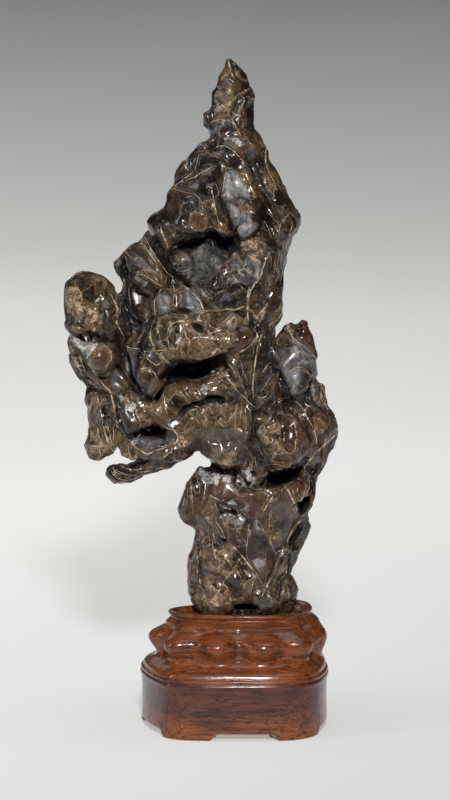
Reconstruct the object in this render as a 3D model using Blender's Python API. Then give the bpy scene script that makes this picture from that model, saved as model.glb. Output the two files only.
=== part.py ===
"""A scholar's rock, standing in a socket of its carved hardwood stand.

The stone is one piece. Its masses are pebbles, each the convex hull of a few balls. A voxel remesh
unites them, hollows of the same kind are cut away, and noise then roughens the whole.
The stand is one block: a footed base, a bead, a row of round lobes and a lip, lofted from plan
outlines, with a socket cut to the foot of the stone.

X runs to the right, -Y to the front and +Z up. Tables below are in millimetres.
"""

import math

import bmesh
import bpy
from mathutils import Vector, geometry, noise

MM = 0.001

# Where the middle of the object's box lies before the pieces are moved over the origin.
BOX_MIDDLE = Vector((-0.2, -3.0, 0.0)) * MM

# The stone: the level of its flat foot, the voxels that unite it, and the relief of its skin.
FOOT_LEVEL = 65.0 * MM
FOOT_FADE = 14.0 * MM
VOXEL = 1.7 * MM
SMOOTHING_ROUNDS = 2
BALL_SUBDIVISIONS = 2
WAVE_LENGTH = 24.0 * MM
WAVE_DEPTH = 1.8 * MM
CELL_SIZE = 20.0 * MM
BORDER_DEPTH = 2.6 * MM
BORDER_SHARPNESS = 5.0
CREST_LENGTH = 55.0 * MM
STONE_TRIANGLES = 7100

# The stand, in millimetres.
STAND_X = 19.5
FOOT_HEIGHT = 4.0
FOOT_DEPTH = 10.0
EDGE_ROUND = 0.8
POINTS_AROUND = 54
CURVE_STEPS = 13
SOCKET_GAP = 0.6

STONE_COLOUR = (0.045, 0.038, 0.03, 1.0)
WOOD_COLOUR = (0.2, 0.07, 0.03, 1.0)

# Each pebble is the hull of its balls: (x, y, z, radius).
CORE = {
    "neck_core": [(17, 2, 350, 13), (20, 2, 330, 17), (24, 4, 335, 14)],
    "upper_core": [(14, 4, 318, 20), (26, 6, 312, 18), (4, 5, 298, 22), (30, 5, 290, 17)],
    "chest_core": [(0, 6, 280, 24), (24, 6, 275, 20), (-18, 4, 262, 22), (26, 4, 255, 18)],
    "waist_core": [(-18, 2, 238, 22), (10, 2, 235, 22), (-12, 0, 212, 20), (28, 0, 215, 17)],
    "belly_core": [(-22, -2, 186, 16), (4, -2, 190, 19), (36, -2, 188, 18), (54, 0, 184, 15)],
    "hip_core": [(20, -2, 164, 16), (38, 0, 160, 16), (46, 0, 168, 16)],
    "trunk_core": [(16, -2, 142, 15), (42, 0, 136, 16), (20, -2, 112, 15), (40, 0, 108, 15)],
    "foot_core": [(12, -5, 96, 13), (38, -3, 94, 14), (12, -4, 76, 13), (38, -2, 76, 13)],
}

FRONT = {
    # spire
    "tip": [
        (17, 0, 400, 2.2), (25, 1, 393, 2.6), (12, -1, 390, 3.4),
        (18, -6, 383, 5), (27.5, 2, 379, 5.2),
    ],
    "blade": [
        (9.5, 1, 381, 5), (27.5, 2, 379, 5), (26.5, 2, 364, 6.8),
        (12, 0, 362, 8), (20, -7, 366, 6.5),
    ],
    "blade_foot": [(14, 0, 357, 10), (28, 2, 354, 9.5), (20, -5, 346, 13), (31, 3, 346, 9)],
    "spire_knob": [(4, -3, 368.5, 3.2), (3.2, -2, 363.5, 3), (10, -1, 366, 5)],
    "spire_ledge": [(1.5, -6, 350, 4), (8, -8, 350, 4), (5, 4, 348, 6)],
    # right flank of the peak
    "flank_rib": [(36, 3, 345, 5), (40, 3, 337, 5.4), (39.5, 3, 331, 6), (44, 4, 318, 7)],
    "flank_knob": [(49, 2, 314, 6), (52.5, 2, 306, 6.3), (48.5, 2, 298, 5), (42, 2, 308, 8)],
    "flank_band": [
        (25, -13, 341, 4), (33, -19, 322, 4), (43, -17, 301, 5),
        (46, -10, 294, 5), (34, -8, 318, 8),
    ],
    "flank_band_outer": [(33, -6, 338, 5), (41, -9, 320, 5), (49, -6, 300, 6), (44, 0, 288, 6)],
    "flank_low": [(40, 0, 284, 9), (41, 0, 270, 7), (30, -8, 276, 10), (30, -10, 262, 9)],
    # big smooth lobe over the grotto
    "peak_lobe_top": [(2, -10, 344, 8), (-7, -8, 331, 9), (9, -15, 334, 8), (12, -13, 343, 5)],
    "peak_lobe": [
        (-9, -10, 318, 13), (3, -20, 328, 9), (11, -20, 324, 6),
        (-4, -23, 312, 8), (8, -23, 313, 8),
    ],
    "peak_lip_left": [(-5, -24, 310, 6), (0, -28, 306, 3.4), (2, -24, 314, 5), (-10, -20, 307, 7)],
    "peak_lip_right": [(11, -24, 314, 5), (17, -28, 305, 3.4), (14, -20, 320, 6), (12, -26, 309, 3.6)],
    "peak_shoulder": [(-24, -6, 303, 9.5), (-13, -15, 303, 10), (-20, -15, 294, 8), (-26, 2, 296, 8)],
    "flute_wall": [
        (22, -10, 340, 5), (20, -15, 326, 4), (31, -18, 306, 5),
        (22, -18, 303, 4), (30, -6, 318, 10),
    ],
    # left shoulder
    "left_lobe": [(-38, -6, 287, 8), (-36, -16, 277, 7), (-27, -22, 270, 6.5), (-24, -16, 284, 8)],
    "left_fin": [(-49, 0, 279, 5), (-46, 0, 270, 5.5), (-44, 3, 284, 5)],
    "left_flank": [(-40, -9, 262, 9.5), (-36, -12, 245, 11), (-33, -4, 256, 14), (-40, -6, 238, 9)],
    "left_dome": [(-23, -23, 259, 7.5), (-22, -14, 257, 9)],
    "left_facet": [(-12, -21, 263, 7), (-4, -25, 256, 5.5), (-15, -14, 272, 7), (-10, -10, 256, 10)],
    # brow over the slot
    "brow_left": [(-23, -26, 244, 8.5), (-13, -29, 242, 9), (-25, -27, 232, 7.5), (-13, -32, 232, 7)],
    "brow_mid": [
        (-6, -36, 235, 5.5), (4, -39, 233, 5.5), (3, -32, 247, 5.5),
        (-6, -30, 246, 6), (0, -20, 243, 11),
    ],
    "brow_right": [
        (9, -39, 235, 5.5), (23, -36, 238, 6), (31, -30, 245, 6),
        (19, -29, 251, 4.5), (20, -18, 244, 11),
    ],
    "slot_cheek": [
        (19, -29, 225, 6), (27, -29, 228, 7), (25, -25, 208, 8),
        (30, -29, 238, 6), (22, -16, 220, 9),
    ],
    "brow_end": [(-36, -24, 236, 8), (-30, -29, 226, 8), (-32, -28, 210, 5.5), (-26, -31, 218, 6)],
    # face below the slot
    "face_left": [(-15, -22, 203, 8), (-5, -25, 205, 7), (-10, -18, 190, 13), (-18, -22, 194, 8)],
    "face_mid": [(3, -26, 208, 7), (16, -27, 213, 7), (2, -20, 190, 12), (16, -20, 190, 11)],
    "face_lip": [
        (2, -25, 179, 8), (16, -27, 173, 8), (24, -25, 177, 8),
        (8, -29, 169, 5), (18, -31, 166, 4.5),
    ],
    # left skirt
    "skirt_top": [(-46, -21, 197, 8), (-38, -22, 202, 8), (-34, -27, 192, 7), (-40, -25, 184, 7)],
    "skirt_low": [(-44, -19, 172, 7), (-34, -23, 172, 7.5), (-22, -24, 172, 8), (-12, -22, 173, 9)],
    "skirt_mid": [(-22, -22, 192, 9), (-16, -24, 182, 8), (-26, -16, 182, 9)],
    "horn_under": [
        (-52.5, -10, 156, 5.2), (-49, -10, 153, 5.8),
        (-42, -12, 155, 6.6), (-34, -13, 159, 6),
    ],
    "horn_root": [(-34, -13, 159, 6), (-24, -14, 161, 6.5), (-12, -10, 170, 8), (-30, -8, 168, 7)],
    # left column
    "column_top": [(-71, -6, 266, 8.5), (-72, -8, 256, 8.8), (-72, -9, 246, 9), (-66, -4, 267, 7)],
    "column_top_right": [
        (-62, -4, 268, 6), (-56, -3, 265, 4.5),
        (-58, -8, 248, 8), (-57, -6, 238, 7.5),
    ],
    "column_bulb": [(-61, -17, 227, 7), (-58, -14, 221, 6), (-62, -6, 226, 9)],
    "column_strip": [(-75, -4, 232, 6), (-73, -4, 222, 6), (-69, -4, 213, 6), (-62, -2, 220, 8)],
    "column_low": [(-65, -6, 202, 6), (-63, -8, 190, 6.6), (-54, -11, 204, 8), (-52, -12, 190, 8)],
    "column_foot": [
        (-63.5, -8, 178, 6.6), (-63.5, -8, 168, 6.5),
        (-54, -11, 180, 7.5), (-56, -9, 172, 6),
    ],
    "column_bridge": [(-52, -3, 225, 9), (-45, -5, 213, 11), (-48, 0, 240, 8), (-44, -6, 196, 11)],
    # hanging drapery right of the brow
    "drape_back": [(42, -3, 262, 6.5), (42.5, -3, 251, 6.8), (36, -6, 244, 6), (34, -4, 262, 9)],
    "drape": [(36, -21, 250, 6.5), (36, -25, 236, 7.5), (35, -26, 218, 8), (37, -23, 203, 8)],
    "drape_inner": [(28, -20, 226, 8), (29, -24, 206, 8), (22, -18, 216, 9), (30, -25, 190, 7)],
    # forked horn on the right
    "fork_left": [(52.5, 2, 243, 2.3), (47, 1, 235.5, 3), (54, 2, 232, 5), (46, 1, 227, 6)],
    "fork_right": [(60.5, 4, 242.8, 2.6), (58.5, 3, 234, 4.5), (64, 4, 232, 3.4), (65.5, 4, 224, 4)],
    "fork_body": [
        (46, 0, 226, 7), (56, -2, 226, 8), (64.5, 4, 212, 5),
        (50, -5, 212, 10), (55, 8, 214, 10),
    ],
    "fork_bulb": [(57, -9, 211, 6.5), (54, -10, 202, 6), (56, -2, 206, 8)],
    # right strata
    "strata_top": [(68, 0, 204, 6), (69.5, 0, 195, 6.3), (62, -6, 196, 8), (58, 0, 205, 9)],
    "strata_point": [(77, -1, 187, 6), (79, -2, 180, 5.6), (74.5, -2, 171, 6), (60, -7, 186, 9)],
    "strata_low": [(70.5, -2, 164, 6), (66.5, -2, 158, 6), (60, -7, 174, 9), (58, -4, 164, 9)],
    # hanging bulb and the tongue beside it
    "bulb": [
        (40, -23, 192, 8.5), (49, -21, 184, 10), (41, -27, 176, 9),
        (53, -24, 170, 8.8), (44, -27, 166, 8),
    ],
    "bulb_neck": [(30, -24, 180, 8), (31, -23, 168, 7), (38, -22, 186, 8), (36, -24, 165, 6)],
    "tongue": [(26, -23, 166, 7), (32, -21, 159, 7), (34, -24, 153, 4.8)],
    # trunk
    "trunk_fin": [
        (0, -7, 155, 5), (-1.5, -8, 145, 7.5), (-4, -8, 137, 7),
        (-9, -8, 130, 5.8), (-4, -6, 127, 6),
    ],
    "trunk_front": [(14, -11, 150, 9), (10, -13, 130, 11), (26, -15, 134, 11), (24, -15, 114, 12)],
    "trunk_right": [(36, -13, 142, 10), (46, -10, 134, 10), (36, -14, 116, 12), (44, -8, 106, 10)],
    "trunk_brow": [(30, -21, 144, 6), (44, -21, 144, 6), (54, -15, 145, 6), (40, -17, 134, 9)],
    "trunk_side": [(62, 2, 150, 7.5), (62, 0, 141, 7.5), (58, 0, 130, 7.5), (52, 0, 140, 10)],
    "trunk_wing": [(60, 0, 121, 7), (55, 0, 112, 8), (50, -2, 104, 9), (46, -2, 116, 10)],
    "trunk_left": [(6, -4, 115, 11), (5, -8, 104, 10), (12, -12, 108, 10)],
    "shin": [(20, -14, 98, 12), (36, -13, 98, 12), (28, -14, 88, 10), (44, -4, 95, 9.5)],
    # foot
    "toe_left": [
        (-1, -8, 99, 8), (-1.5, -8, 89, 7.8), (-1.5, -6, 79, 8),
        (8, -13, 84, 9), (8, -10, 75, 9),
    ],
    "toe_right": [(34, -17, 88, 7), (38, -18, 80, 6.5), (37, -18, 73, 6), (44, -8, 82, 9)],
    "heel_right": [(48, -2, 85, 9), (49.5, -2, 79, 8), (48, 0, 73, 8), (40, 2, 80, 12)],
}

BACK = {
    "spine_top": [(22, 9, 352, 9), (20, 16, 332, 11), (30, 12, 328, 10)],
    "spine_high": [(20, 17, 330, 11), (8, 22, 305, 12), (26, 18, 308, 10)],
    "spine_mid": [(8, 22, 303, 11), (-6, 25, 280, 11), (-2, 20, 268, 12)],
    "spine_low": [(-4, 25, 262, 10), (2, 27, 242, 11), (14, 24, 224, 12)],
    "spine_foot": [(16, 24, 214, 11), (25, 20, 192, 13), (28, 14, 168, 12)],
    "back_shoulder": [(-26, 12, 292, 11), (-34, 14, 272, 11), (-24, 18, 276, 10)],
    "back_left": [(-36, 12, 254, 12), (-30, 17, 238, 12), (-40, 10, 228, 11)],
    "back_skirt": [(-44, 8, 208, 11), (-34, 13, 196, 11), (-22, 14, 184, 12), (-36, 6, 182, 9)],
    "back_belly": [(-18, 18, 216, 11), (-6, 20, 200, 11), (-8, 14, 180, 12)],
    "back_ledge": [(38, 12, 300, 9), (34, 17, 288, 9), (42, 9, 280, 8), (20, 20, 290, 9)],
    "back_right": [(32, 17, 264, 10), (26, 21, 248, 11), (30, 16, 232, 10)],
    "fork_back": [(50, 14, 222, 8), (58, 12, 208, 9), (48, 15, 200, 10)],
    "strata_back": [(66, 10, 196, 8), (70, 7, 182, 8), (62, 14, 180, 9), (64, 8, 166, 8)],
    "hip_back": [(44, 15, 184, 11), (50, 12, 168, 10), (38, 13, 160, 11)],
    "column_back": [(-66, 6, 258, 8), (-62, 8, 240, 8.5), (-58, 8, 222, 8)],
    "column_back_low": [(-60, 4, 204, 7), (-59, 3, 186, 7), (-52, 5, 196, 8)],
    "trunk_back": [(8, 8, 146, 9), (26, 13, 150, 10), (14, 12, 128, 10), (34, 14, 132, 10)],
    "trunk_back_low": [(16, 11, 112, 10), (32, 12, 104, 11), (44, 8, 120, 9)],
    "heel_back": [(8, 5, 92, 9), (28, 9, 86, 11), (10, 3, 76, 9), (36, 6, 74, 10)],
}

HOLLOWS = {
    # grotto under the big lobe
    "grotto": [
        (-4, -33, 288, 7), (16, -33, 290, 7), (27, -29, 282, 8),
        (8, -29, 270, 9), (18, -30, 262, 6),
    ],
    "grotto_roof": [(-4, -22, 293, 5), (7, -24, 300, 5), (22, -20, 293, 5.5), (10, -20, 284, 7)],
    "grotto_left": [(-14, -27, 289, 3.5), (-2, -24, 286, 6)],
    # flute beside the big lobe
    "flute": [(19, -24, 330, 5), (24, -27, 314, 5.5), (26, -28, 302, 5), (23, -17, 318, 3.5)],
    # slot under the brow
    "slot": [
        (-25, -36, 216, 4), (-12, -38, 220, 5), (5, -37, 222, 3.5),
        (-15, -16, 216, 5), (0, -16, 220, 4.5),
    ],
    "slot_right": [(4, -35, 222, 3), (14, -38, 225, 2), (11, -24, 222, 2.5)],
    # eye in the left skirt
    "skirt_eye": [
        (-39, -34, 181, 2.4), (-31, -34, 184, 3.2),
        (-24, -33, 184, 2.6), (-31, -14, 183, 3.4),
    ],
    # crevice between column and body
    "column_crevice": [
        (-50.5, -32, 266, 1.6), (-49, -32, 232, 1.4),
        (-50, -8, 268, 1.4), (-48, -12, 232, 1.2),
    ],
    "column_notch": [
        (-48.5, -20, 266, 1.5), (-53.5, -20, 277, 3),
        (-53.5, 20, 277, 3), (-48.5, 20, 266, 1.5),
    ],
    "column_gap": [(-58, -26, 236, 2.2), (-64, -26, 236, 2), (-60, -10, 235, 2.2)],
    # mouth under the bulb
    "bulb_mouth": [(36, -36, 152, 3.2), (46, -37, 155, 4.6), (57, -32, 157, 3.6), (46, -12, 154, 5.5)],
    "trunk_recess": [(61, -16, 138, 4.4), (59, -16, 130, 3.6), (60, -3, 135, 4)],
    "trunk_groove": [(52, -20, 112, 2), (57, -17, 122, 2.4), (55, -6, 118, 2)],
    "overhang_nook": [(1, -20, 157, 3.4), (7, -22, 155, 3.6), (4, -8, 158, 4)],
    # daylight between drapery and horn
    "window": [(40, -16, 236.5, 1.6), (49, -16, 244.5, 3), (40, 24, 236.5, 2), (49, 24, 244.5, 4)],
    # arch under the foot
    "foot_arch": [(19, -26, 72, 3.6), (29, -26, 72.5, 4), (24, -10, 70, 5), (24, -26, 66, 6)],
    # back
    "back_grotto": [(10, 40, 272, 8), (20, 36, 268, 7), (14, 22, 270, 6), (12, 38, 258, 6)],
    "back_scoop": [(-16, 38, 236, 9), (-12, 26, 232, 6), (-20, 36, 224, 7)],
    "back_pocket": [(4, 36, 182, 7), (12, 34, 176, 6), (6, 18, 180, 6)],
    "back_slot": [(36, 32, 206, 4), (44, 30, 214, 4.5), (36, 14, 208, 4.5)],
    "back_flute": [(36, 34, 322, 6), (30, 26, 316, 4), (38, 28, 306, 4)],
    "trunk_pit": [(24, 32, 118, 6), (28, 20, 120, 4.5)],
}


# Outlines of the base, the shoulder and the lip, seen from above, counterclockwise from the front left.
BASE_PLAN = [(-24, -38), (-16, -45), (-4, -48), (20, -49), (46, -48.5), (60, -44), (69, -34), (74, -18),
             (75.6, 0), (72, 20), (62, 36), (44, 41), (20, 43), (-5, 41), (-22, 35), (-33, 20),
             (-36.8, 2), (-33, -18)]
SHOULDER_PLAN = [(-20, -19), (-10, -29), (8, -34), (30, -35), (48, -33), (62, -23), (70, -6), (70, 10),
                 (65, 22), (52, 29), (38, 29), (16, 24), (-2, 17), (-15, 7), (-22, -6)]
LIP_PLAN = [(-17.5, -16), (-9, -23), (10, -27), (30, -28), (46, -26), (58, -17), (65, -5), (65, 8),
            (61, 17), (52, 22), (40, 21), (20, 14), (2, 6), (-12, 0), (-19, -7)]
# Each groove between two lobes: its direction in degrees and its depth in millimetres.
GROOVES = [(-156, 6.5), (-122, 4.5), (-86, 4.0), (-51, 4.0), (-24, 5.0), (14, 5.0), (51, 5.0), (88, 4.5),
           (129, 5.0), (164, 5.5)]
# Directions of the two ends of each foot, in degrees.
FEET = [(-138, -107), (-61, -33), (4, 26), (44, 66), (114, 136), (154, 176)]
# The side of the stand, from the bottom up: height, place between the lip (0), the shoulder (1) and
# the base (2), offset in millimetres and share of the grooves.
PROFILE = [
    (30.8, 2.0, 0.0, 0.0), (31.8, 2.0, 0.9, 0.0), (33.4, 2.0, 0.9, 0.0), (34.4, 2.0, -0.5, 0.0),
    (36.2, 2.0, -0.3, 0.0), (38.6, 1.88, -0.6, 0.0), (41.0, 1.6, -0.6, 0.05), (43.4, 1.38, -0.4, 0.25),
    (46.0, 1.34, 0.8, 0.6), (50.0, 1.56, 1.8, 0.95), (54.5, 1.68, 1.8, 1.0), (58.6, 1.5, 1.4, 1.0),
    (62.0, 1.1, 0.9, 0.65), (64.2, 0.86, 0.4, 0.3), (66.0, 0.14, -0.2, 0.05), (67.8, 0.0, -0.5, 0.0),
    (69.4, 0.0, 1.0, 0.0), (70.7, 0.0, 1.0, 0.0), (72.0, 0.0, -3.6, 0.0),
]


def ball_points(centre, radius):
    ball = bmesh.new()
    bmesh.ops.create_icosphere(ball, subdivisions=BALL_SUBDIVISIONS, radius=radius * MM)
    points = [vertex.co + Vector(centre) * MM for vertex in ball.verts]
    ball.free()
    return points


def add_pebble(mesh, balls):
    """Adds the hull of the balls to the bmesh."""
    points = [mesh.verts.new(p) for x, y, z, r in balls for p in ball_points((x, y, z), r)]
    hull = bmesh.ops.convex_hull(mesh, input=points)
    inside = {e for e in hull["geom_interior"] + hull["geom_unused"] if isinstance(e, bmesh.types.BMVert)}
    bmesh.ops.delete(mesh, geom=list(inside), context="VERTS")


def pebble_object(name, pebbles, material=None):
    mesh = bmesh.new()
    for balls in pebbles:
        add_pebble(mesh, balls)
    bmesh.ops.recalc_face_normals(mesh, faces=mesh.faces)
    data = bpy.data.meshes.new(name)
    mesh.to_mesh(data)
    mesh.free()
    obj = bpy.data.objects.new(name, data)
    bpy.context.scene.collection.objects.link(obj)
    if material:
        data.materials.append(material)
    return obj


def as_cutter(obj):
    obj.hide_render = True
    obj.display_type = "WIRE"
    return obj


def finish_material(name, colour, roughness):
    material = bpy.data.materials.new(name)
    material.use_nodes = True
    shader = material.node_tree.nodes["Principled BSDF"]
    shader.inputs["Base Color"].default_value = colour
    shader.inputs["Roughness"].default_value = roughness
    shader.inputs["Metallic"].default_value = 0.0
    return material


def apply_modifiers(obj):
    """Bakes the modifiers into the object's mesh."""
    graph = bpy.context.evaluated_depsgraph_get()
    made = bpy.data.meshes.new_from_object(obj.evaluated_get(graph))
    old = obj.data
    obj.modifiers.clear()
    obj.data = made
    bpy.data.meshes.remove(old)


def add_remesh(obj, voxel):
    remesh = obj.modifiers.new("Unite", "REMESH")
    remesh.mode = "VOXEL"
    remesh.voxel_size = voxel
    remesh.use_smooth_shade = True


def add_smooth(obj, rounds):
    smooth = obj.modifiers.new("Soften", "SMOOTH")
    smooth.factor = 0.5
    smooth.iterations = rounds


def cell_border(point):
    """1 on the border between two cells of the stone's skin, falling off quickly to either side."""
    bent = point + Vector((0, 0, WAVE_DEPTH * noise.noise(point / WAVE_LENGTH)))
    distances, _ = noise.voronoi(bent / CELL_SIZE)
    return math.exp(-BORDER_SHARPNESS * (distances[1] - distances[0]))


def roughen(obj):
    """Moves each vertex along its normal by waves and by the cells' borders, which fade out at the foot.

    A border is a crease between two swellings in some places and a crest between two scallops in others.
    """
    mesh = obj.data
    normals = [vertex.normal.copy() for vertex in mesh.vertices]
    for vertex, normal in zip(mesh.vertices, normals):
        point = vertex.co.copy()
        fade = min(1.0, max(0.0, (point.z - FOOT_LEVEL) / FOOT_FADE))
        wave = WAVE_DEPTH * noise.noise(point / WAVE_LENGTH + Vector((7, 3, 5)))
        crest = math.tanh(3 * noise.noise(point / CREST_LENGTH + Vector((2, 9, 4))))
        vertex.co += normal * fade * (wave + BORDER_DEPTH * crest * cell_border(point))
    mesh.update()


def keep_largest_shell(obj):
    """Removes the small closed shells that a remesh leaves inside."""
    mesh = bmesh.new()
    mesh.from_mesh(obj.data)
    mesh.verts.ensure_lookup_table()
    seen, shells = set(), []
    for start in mesh.verts:
        if start in seen:
            continue
        shell, front = [], [start]
        seen.add(start)
        while front:
            vertex = front.pop()
            shell.append(vertex)
            for edge in vertex.link_edges:
                other = edge.other_vert(vertex)
                if other not in seen:
                    seen.add(other)
                    front.append(other)
        shells.append(shell)
    shells.sort(key=len)
    for shell in shells[:-1]:
        bmesh.ops.delete(mesh, geom=shell, context="VERTS")
    mesh.to_mesh(obj.data)
    mesh.free()


def cut_flat_below(obj, level):
    """Bisects the object at a level, removes what is below and closes the cut."""
    mesh = bmesh.new()
    mesh.from_mesh(obj.data)
    every = mesh.verts[:] + mesh.edges[:] + mesh.faces[:]
    cut = bmesh.ops.bisect_plane(
        mesh, geom=every, plane_co=(0, 0, level), plane_no=(0, 0, 1), clear_inner=True
    )
    rim = [e for e in cut["geom_cut"] if isinstance(e, bmesh.types.BMEdge)]
    bmesh.ops.holes_fill(mesh, edges=rim, sides=0)
    bmesh.ops.triangulate(mesh, faces=mesh.faces)
    mesh.to_mesh(obj.data)
    mesh.free()


def build_stone():
    stone = pebble_object(
        "rock",
        [*CORE.values(), *FRONT.values(), *BACK.values()],
        finish_material("dark veined limestone", STONE_COLOUR, 0.35),
    )
    add_remesh(stone, VOXEL)
    apply_modifiers(stone)
    keep_largest_shell(stone)
    hollows = pebble_object("hollow_cutter", HOLLOWS.values())
    add_remesh(hollows, VOXEL)
    apply_modifiers(hollows)
    cut = stone.modifiers.new("Hollows", "BOOLEAN")
    cut.operation = "DIFFERENCE"
    cut.object = as_cutter(hollows)
    apply_modifiers(stone)
    add_remesh(stone, VOXEL)
    add_smooth(stone, SMOOTHING_ROUNDS)
    apply_modifiers(stone)
    keep_largest_shell(stone)
    roughen(stone)
    thin = stone.modifiers.new("Thin", "DECIMATE")
    thin.ratio = STONE_TRIANGLES / sum(len(p.vertices) - 2 for p in stone.data.polygons)
    apply_modifiers(stone)
    cut_flat_below(stone, FOOT_LEVEL)
    stone.data.shade_smooth()
    return stone


def smooth_outline(plan):
    """The plan as a closed curve through its points, about the middle of the stand."""
    points = [Vector((x - STAND_X, y)) for x, y in plan]
    count = len(points)
    outline = []
    for i in range(count):
        before, a, b, after = (points[(i + k) % count] for k in (-1, 0, 1, 2))
        handle_a = a + (b - before) / 6
        handle_b = b - (after - a) / 6
        outline += geometry.interpolate_bezier(a, handle_a, handle_b, b, CURVE_STEPS)[:-1]
    return outline


def radii_of(plan, directions):
    """How far the outline lies from the middle of the stand, in each direction."""
    outline = smooth_outline(plan)
    radii = []
    for direction in directions:
        ray = Vector((math.cos(direction), math.sin(direction)))
        for p, q in zip(outline, outline[1:] + outline[:1]):
            across_p, across_q = ray.cross(p), ray.cross(q)
            if across_p <= 0 < across_q:
                radii.append(p.lerp(q, across_p / (across_p - across_q)).dot(ray))
                break
    return radii


def groove_depth(degrees):
    """0 on the crown of each lobe, and the depth of the nearer groove between two lobes."""
    first, depth = GROOVES[0]
    ends = [*GROOVES, (first + 360, depth)]
    turned = (degrees - first) % 360 + first
    for (start, start_depth), (end, end_depth) in zip(ends, ends[1:]):
        if start <= turned < end:
            share = (turned - start) / (end - start)
            depth = start_depth if share < 0.5 else end_depth
            return depth * (1 - math.sin(math.pi * share) ** 0.75)
    return 0.0


def on_foot(degrees):
    return any((degrees - start) % 360 <= end - start for start, end in FEET)


def build_stand():
    mesh = bmesh.new()
    rings = []
    directions = [2 * math.pi * i / POINTS_AROUND for i in range(POINTS_AROUND)]
    lip, shoulder, base = (radii_of(plan, directions) for plan in (LIP_PLAN, SHOULDER_PLAN, BASE_PLAN))
    grooves = [groove_depth(math.degrees(d)) for d in directions]
    soles = [0.0 if on_foot(math.degrees(d)) else FOOT_HEIGHT for d in directions]

    def add_ring(radii, heights):
        spots = zip(directions, radii, heights)
        rings.append([mesh.verts.new(polar_point(d, r, z)) for d, r, z in spots])

    add_ring([r - FOOT_DEPTH - EDGE_ROUND for r in base], [FOOT_HEIGHT] * POINTS_AROUND)
    add_ring([r - FOOT_DEPTH for r in base], soles)
    add_ring([r - EDGE_ROUND for r in base], soles)
    add_ring(base, [sole + EDGE_ROUND for sole in soles])
    for height, place, offset, share in PROFILE:
        inner, outer = (shoulder, base) if place > 1 else (lip, shoulder)
        mix = place - 1 if place > 1 else place
        radii = [a + (b - a) * mix + offset - share * groove for a, b, groove in zip(inner, outer, grooves)]
        add_ring(radii, [height] * POINTS_AROUND)
    for lower, upper in zip(rings, rings[1:]):
        for i in range(POINTS_AROUND):
            j = (i + 1) % POINTS_AROUND
            mesh.faces.new((lower[i], lower[j], upper[j], upper[i]))
    mesh.faces.new(rings[-1])
    mesh.faces.new(rings[0][::-1])
    bmesh.ops.recalc_face_normals(mesh, faces=mesh.faces)
    bmesh.ops.triangulate(mesh, faces=mesh.faces)
    data = bpy.data.meshes.new("stand")
    mesh.to_mesh(data)
    mesh.free()
    data.materials.append(finish_material("rosewood", WOOD_COLOUR, 0.3))
    stand = bpy.data.objects.new("stand", data)
    bpy.context.scene.collection.objects.link(stand)
    return stand


def polar_point(direction, radius, height):
    return Vector((STAND_X + radius * math.cos(direction), radius * math.sin(direction), height)) * MM


def cut_socket(stand, stone):
    """Cuts the stand with the foot of the stone, swollen by the gap."""
    swollen = stone.copy()
    swollen.data = stone.data.copy()
    swollen.name = "socket_cutter"
    bpy.context.scene.collection.objects.link(swollen)
    swell = swollen.modifiers.new("Swell", "DISPLACE")
    swell.strength = SOCKET_GAP * MM
    swell.mid_level = 0.0
    apply_modifiers(swollen)
    cut = stand.modifiers.new("Socket", "BOOLEAN")
    cut.operation = "DIFFERENCE"
    cut.object = as_cutter(swollen)
    return swollen


def main():
    for obj in list(bpy.data.objects):
        bpy.data.objects.remove(obj)
    stone = build_stone()
    stand = build_stand()
    cutter = cut_socket(stand, stone)
    for obj in (stone, stand, cutter):
        obj.location = -BOX_MIDDLE


main()
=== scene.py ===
"""Dresses a scholar's rock and its carved hardwood stand, and sets up the studio around them.

The rock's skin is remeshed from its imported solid, then carved with pillows, tilted plates and knobs.
The stand is lofted again from its plan outlines, with finer mouldings. The stand's tables are in
millimetres. The rock's marks are drawn on panels of the front view and laid on its face, where a
place is given as (across, up) in millimetres, seen along the slant.
"""

import functools
import itertools
import math
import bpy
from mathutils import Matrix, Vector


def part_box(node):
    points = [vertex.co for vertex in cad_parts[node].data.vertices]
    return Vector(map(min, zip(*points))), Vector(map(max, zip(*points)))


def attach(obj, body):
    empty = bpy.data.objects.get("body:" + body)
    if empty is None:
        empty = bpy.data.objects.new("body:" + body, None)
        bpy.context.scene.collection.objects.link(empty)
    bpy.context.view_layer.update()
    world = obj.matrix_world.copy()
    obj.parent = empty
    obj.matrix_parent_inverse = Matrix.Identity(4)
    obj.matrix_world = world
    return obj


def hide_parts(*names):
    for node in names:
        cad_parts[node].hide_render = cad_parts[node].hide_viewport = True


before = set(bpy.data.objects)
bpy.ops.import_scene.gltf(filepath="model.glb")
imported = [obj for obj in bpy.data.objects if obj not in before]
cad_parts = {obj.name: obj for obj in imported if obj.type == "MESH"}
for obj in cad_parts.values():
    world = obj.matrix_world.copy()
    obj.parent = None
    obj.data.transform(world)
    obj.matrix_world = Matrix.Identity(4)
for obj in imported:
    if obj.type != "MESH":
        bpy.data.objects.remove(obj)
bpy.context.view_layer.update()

from types import SimpleNamespace

import bpy
import numpy as np
from mathutils import Vector, geometry
from mathutils.bvhtree import BVHTree

bl_info = {
    "name": "Scholar's Rock",
    "version": (1, 0, 0),
    "blender": (4, 5, 0),
    "location": "View3D > Sidebar > Scholar's Rock",
    "description": "A dark veined rock on its carved rosewood stand",
    "category": "Add Mesh",
}

MM = 0.001
FRONT_WIDTH, FRONT_HEIGHT = 450, 800
LENS, SENSOR = 150, 36
CAMERA_PITCH = 8.3
SLANT = math.tan(math.radians(CAMERA_PITCH))

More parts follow.
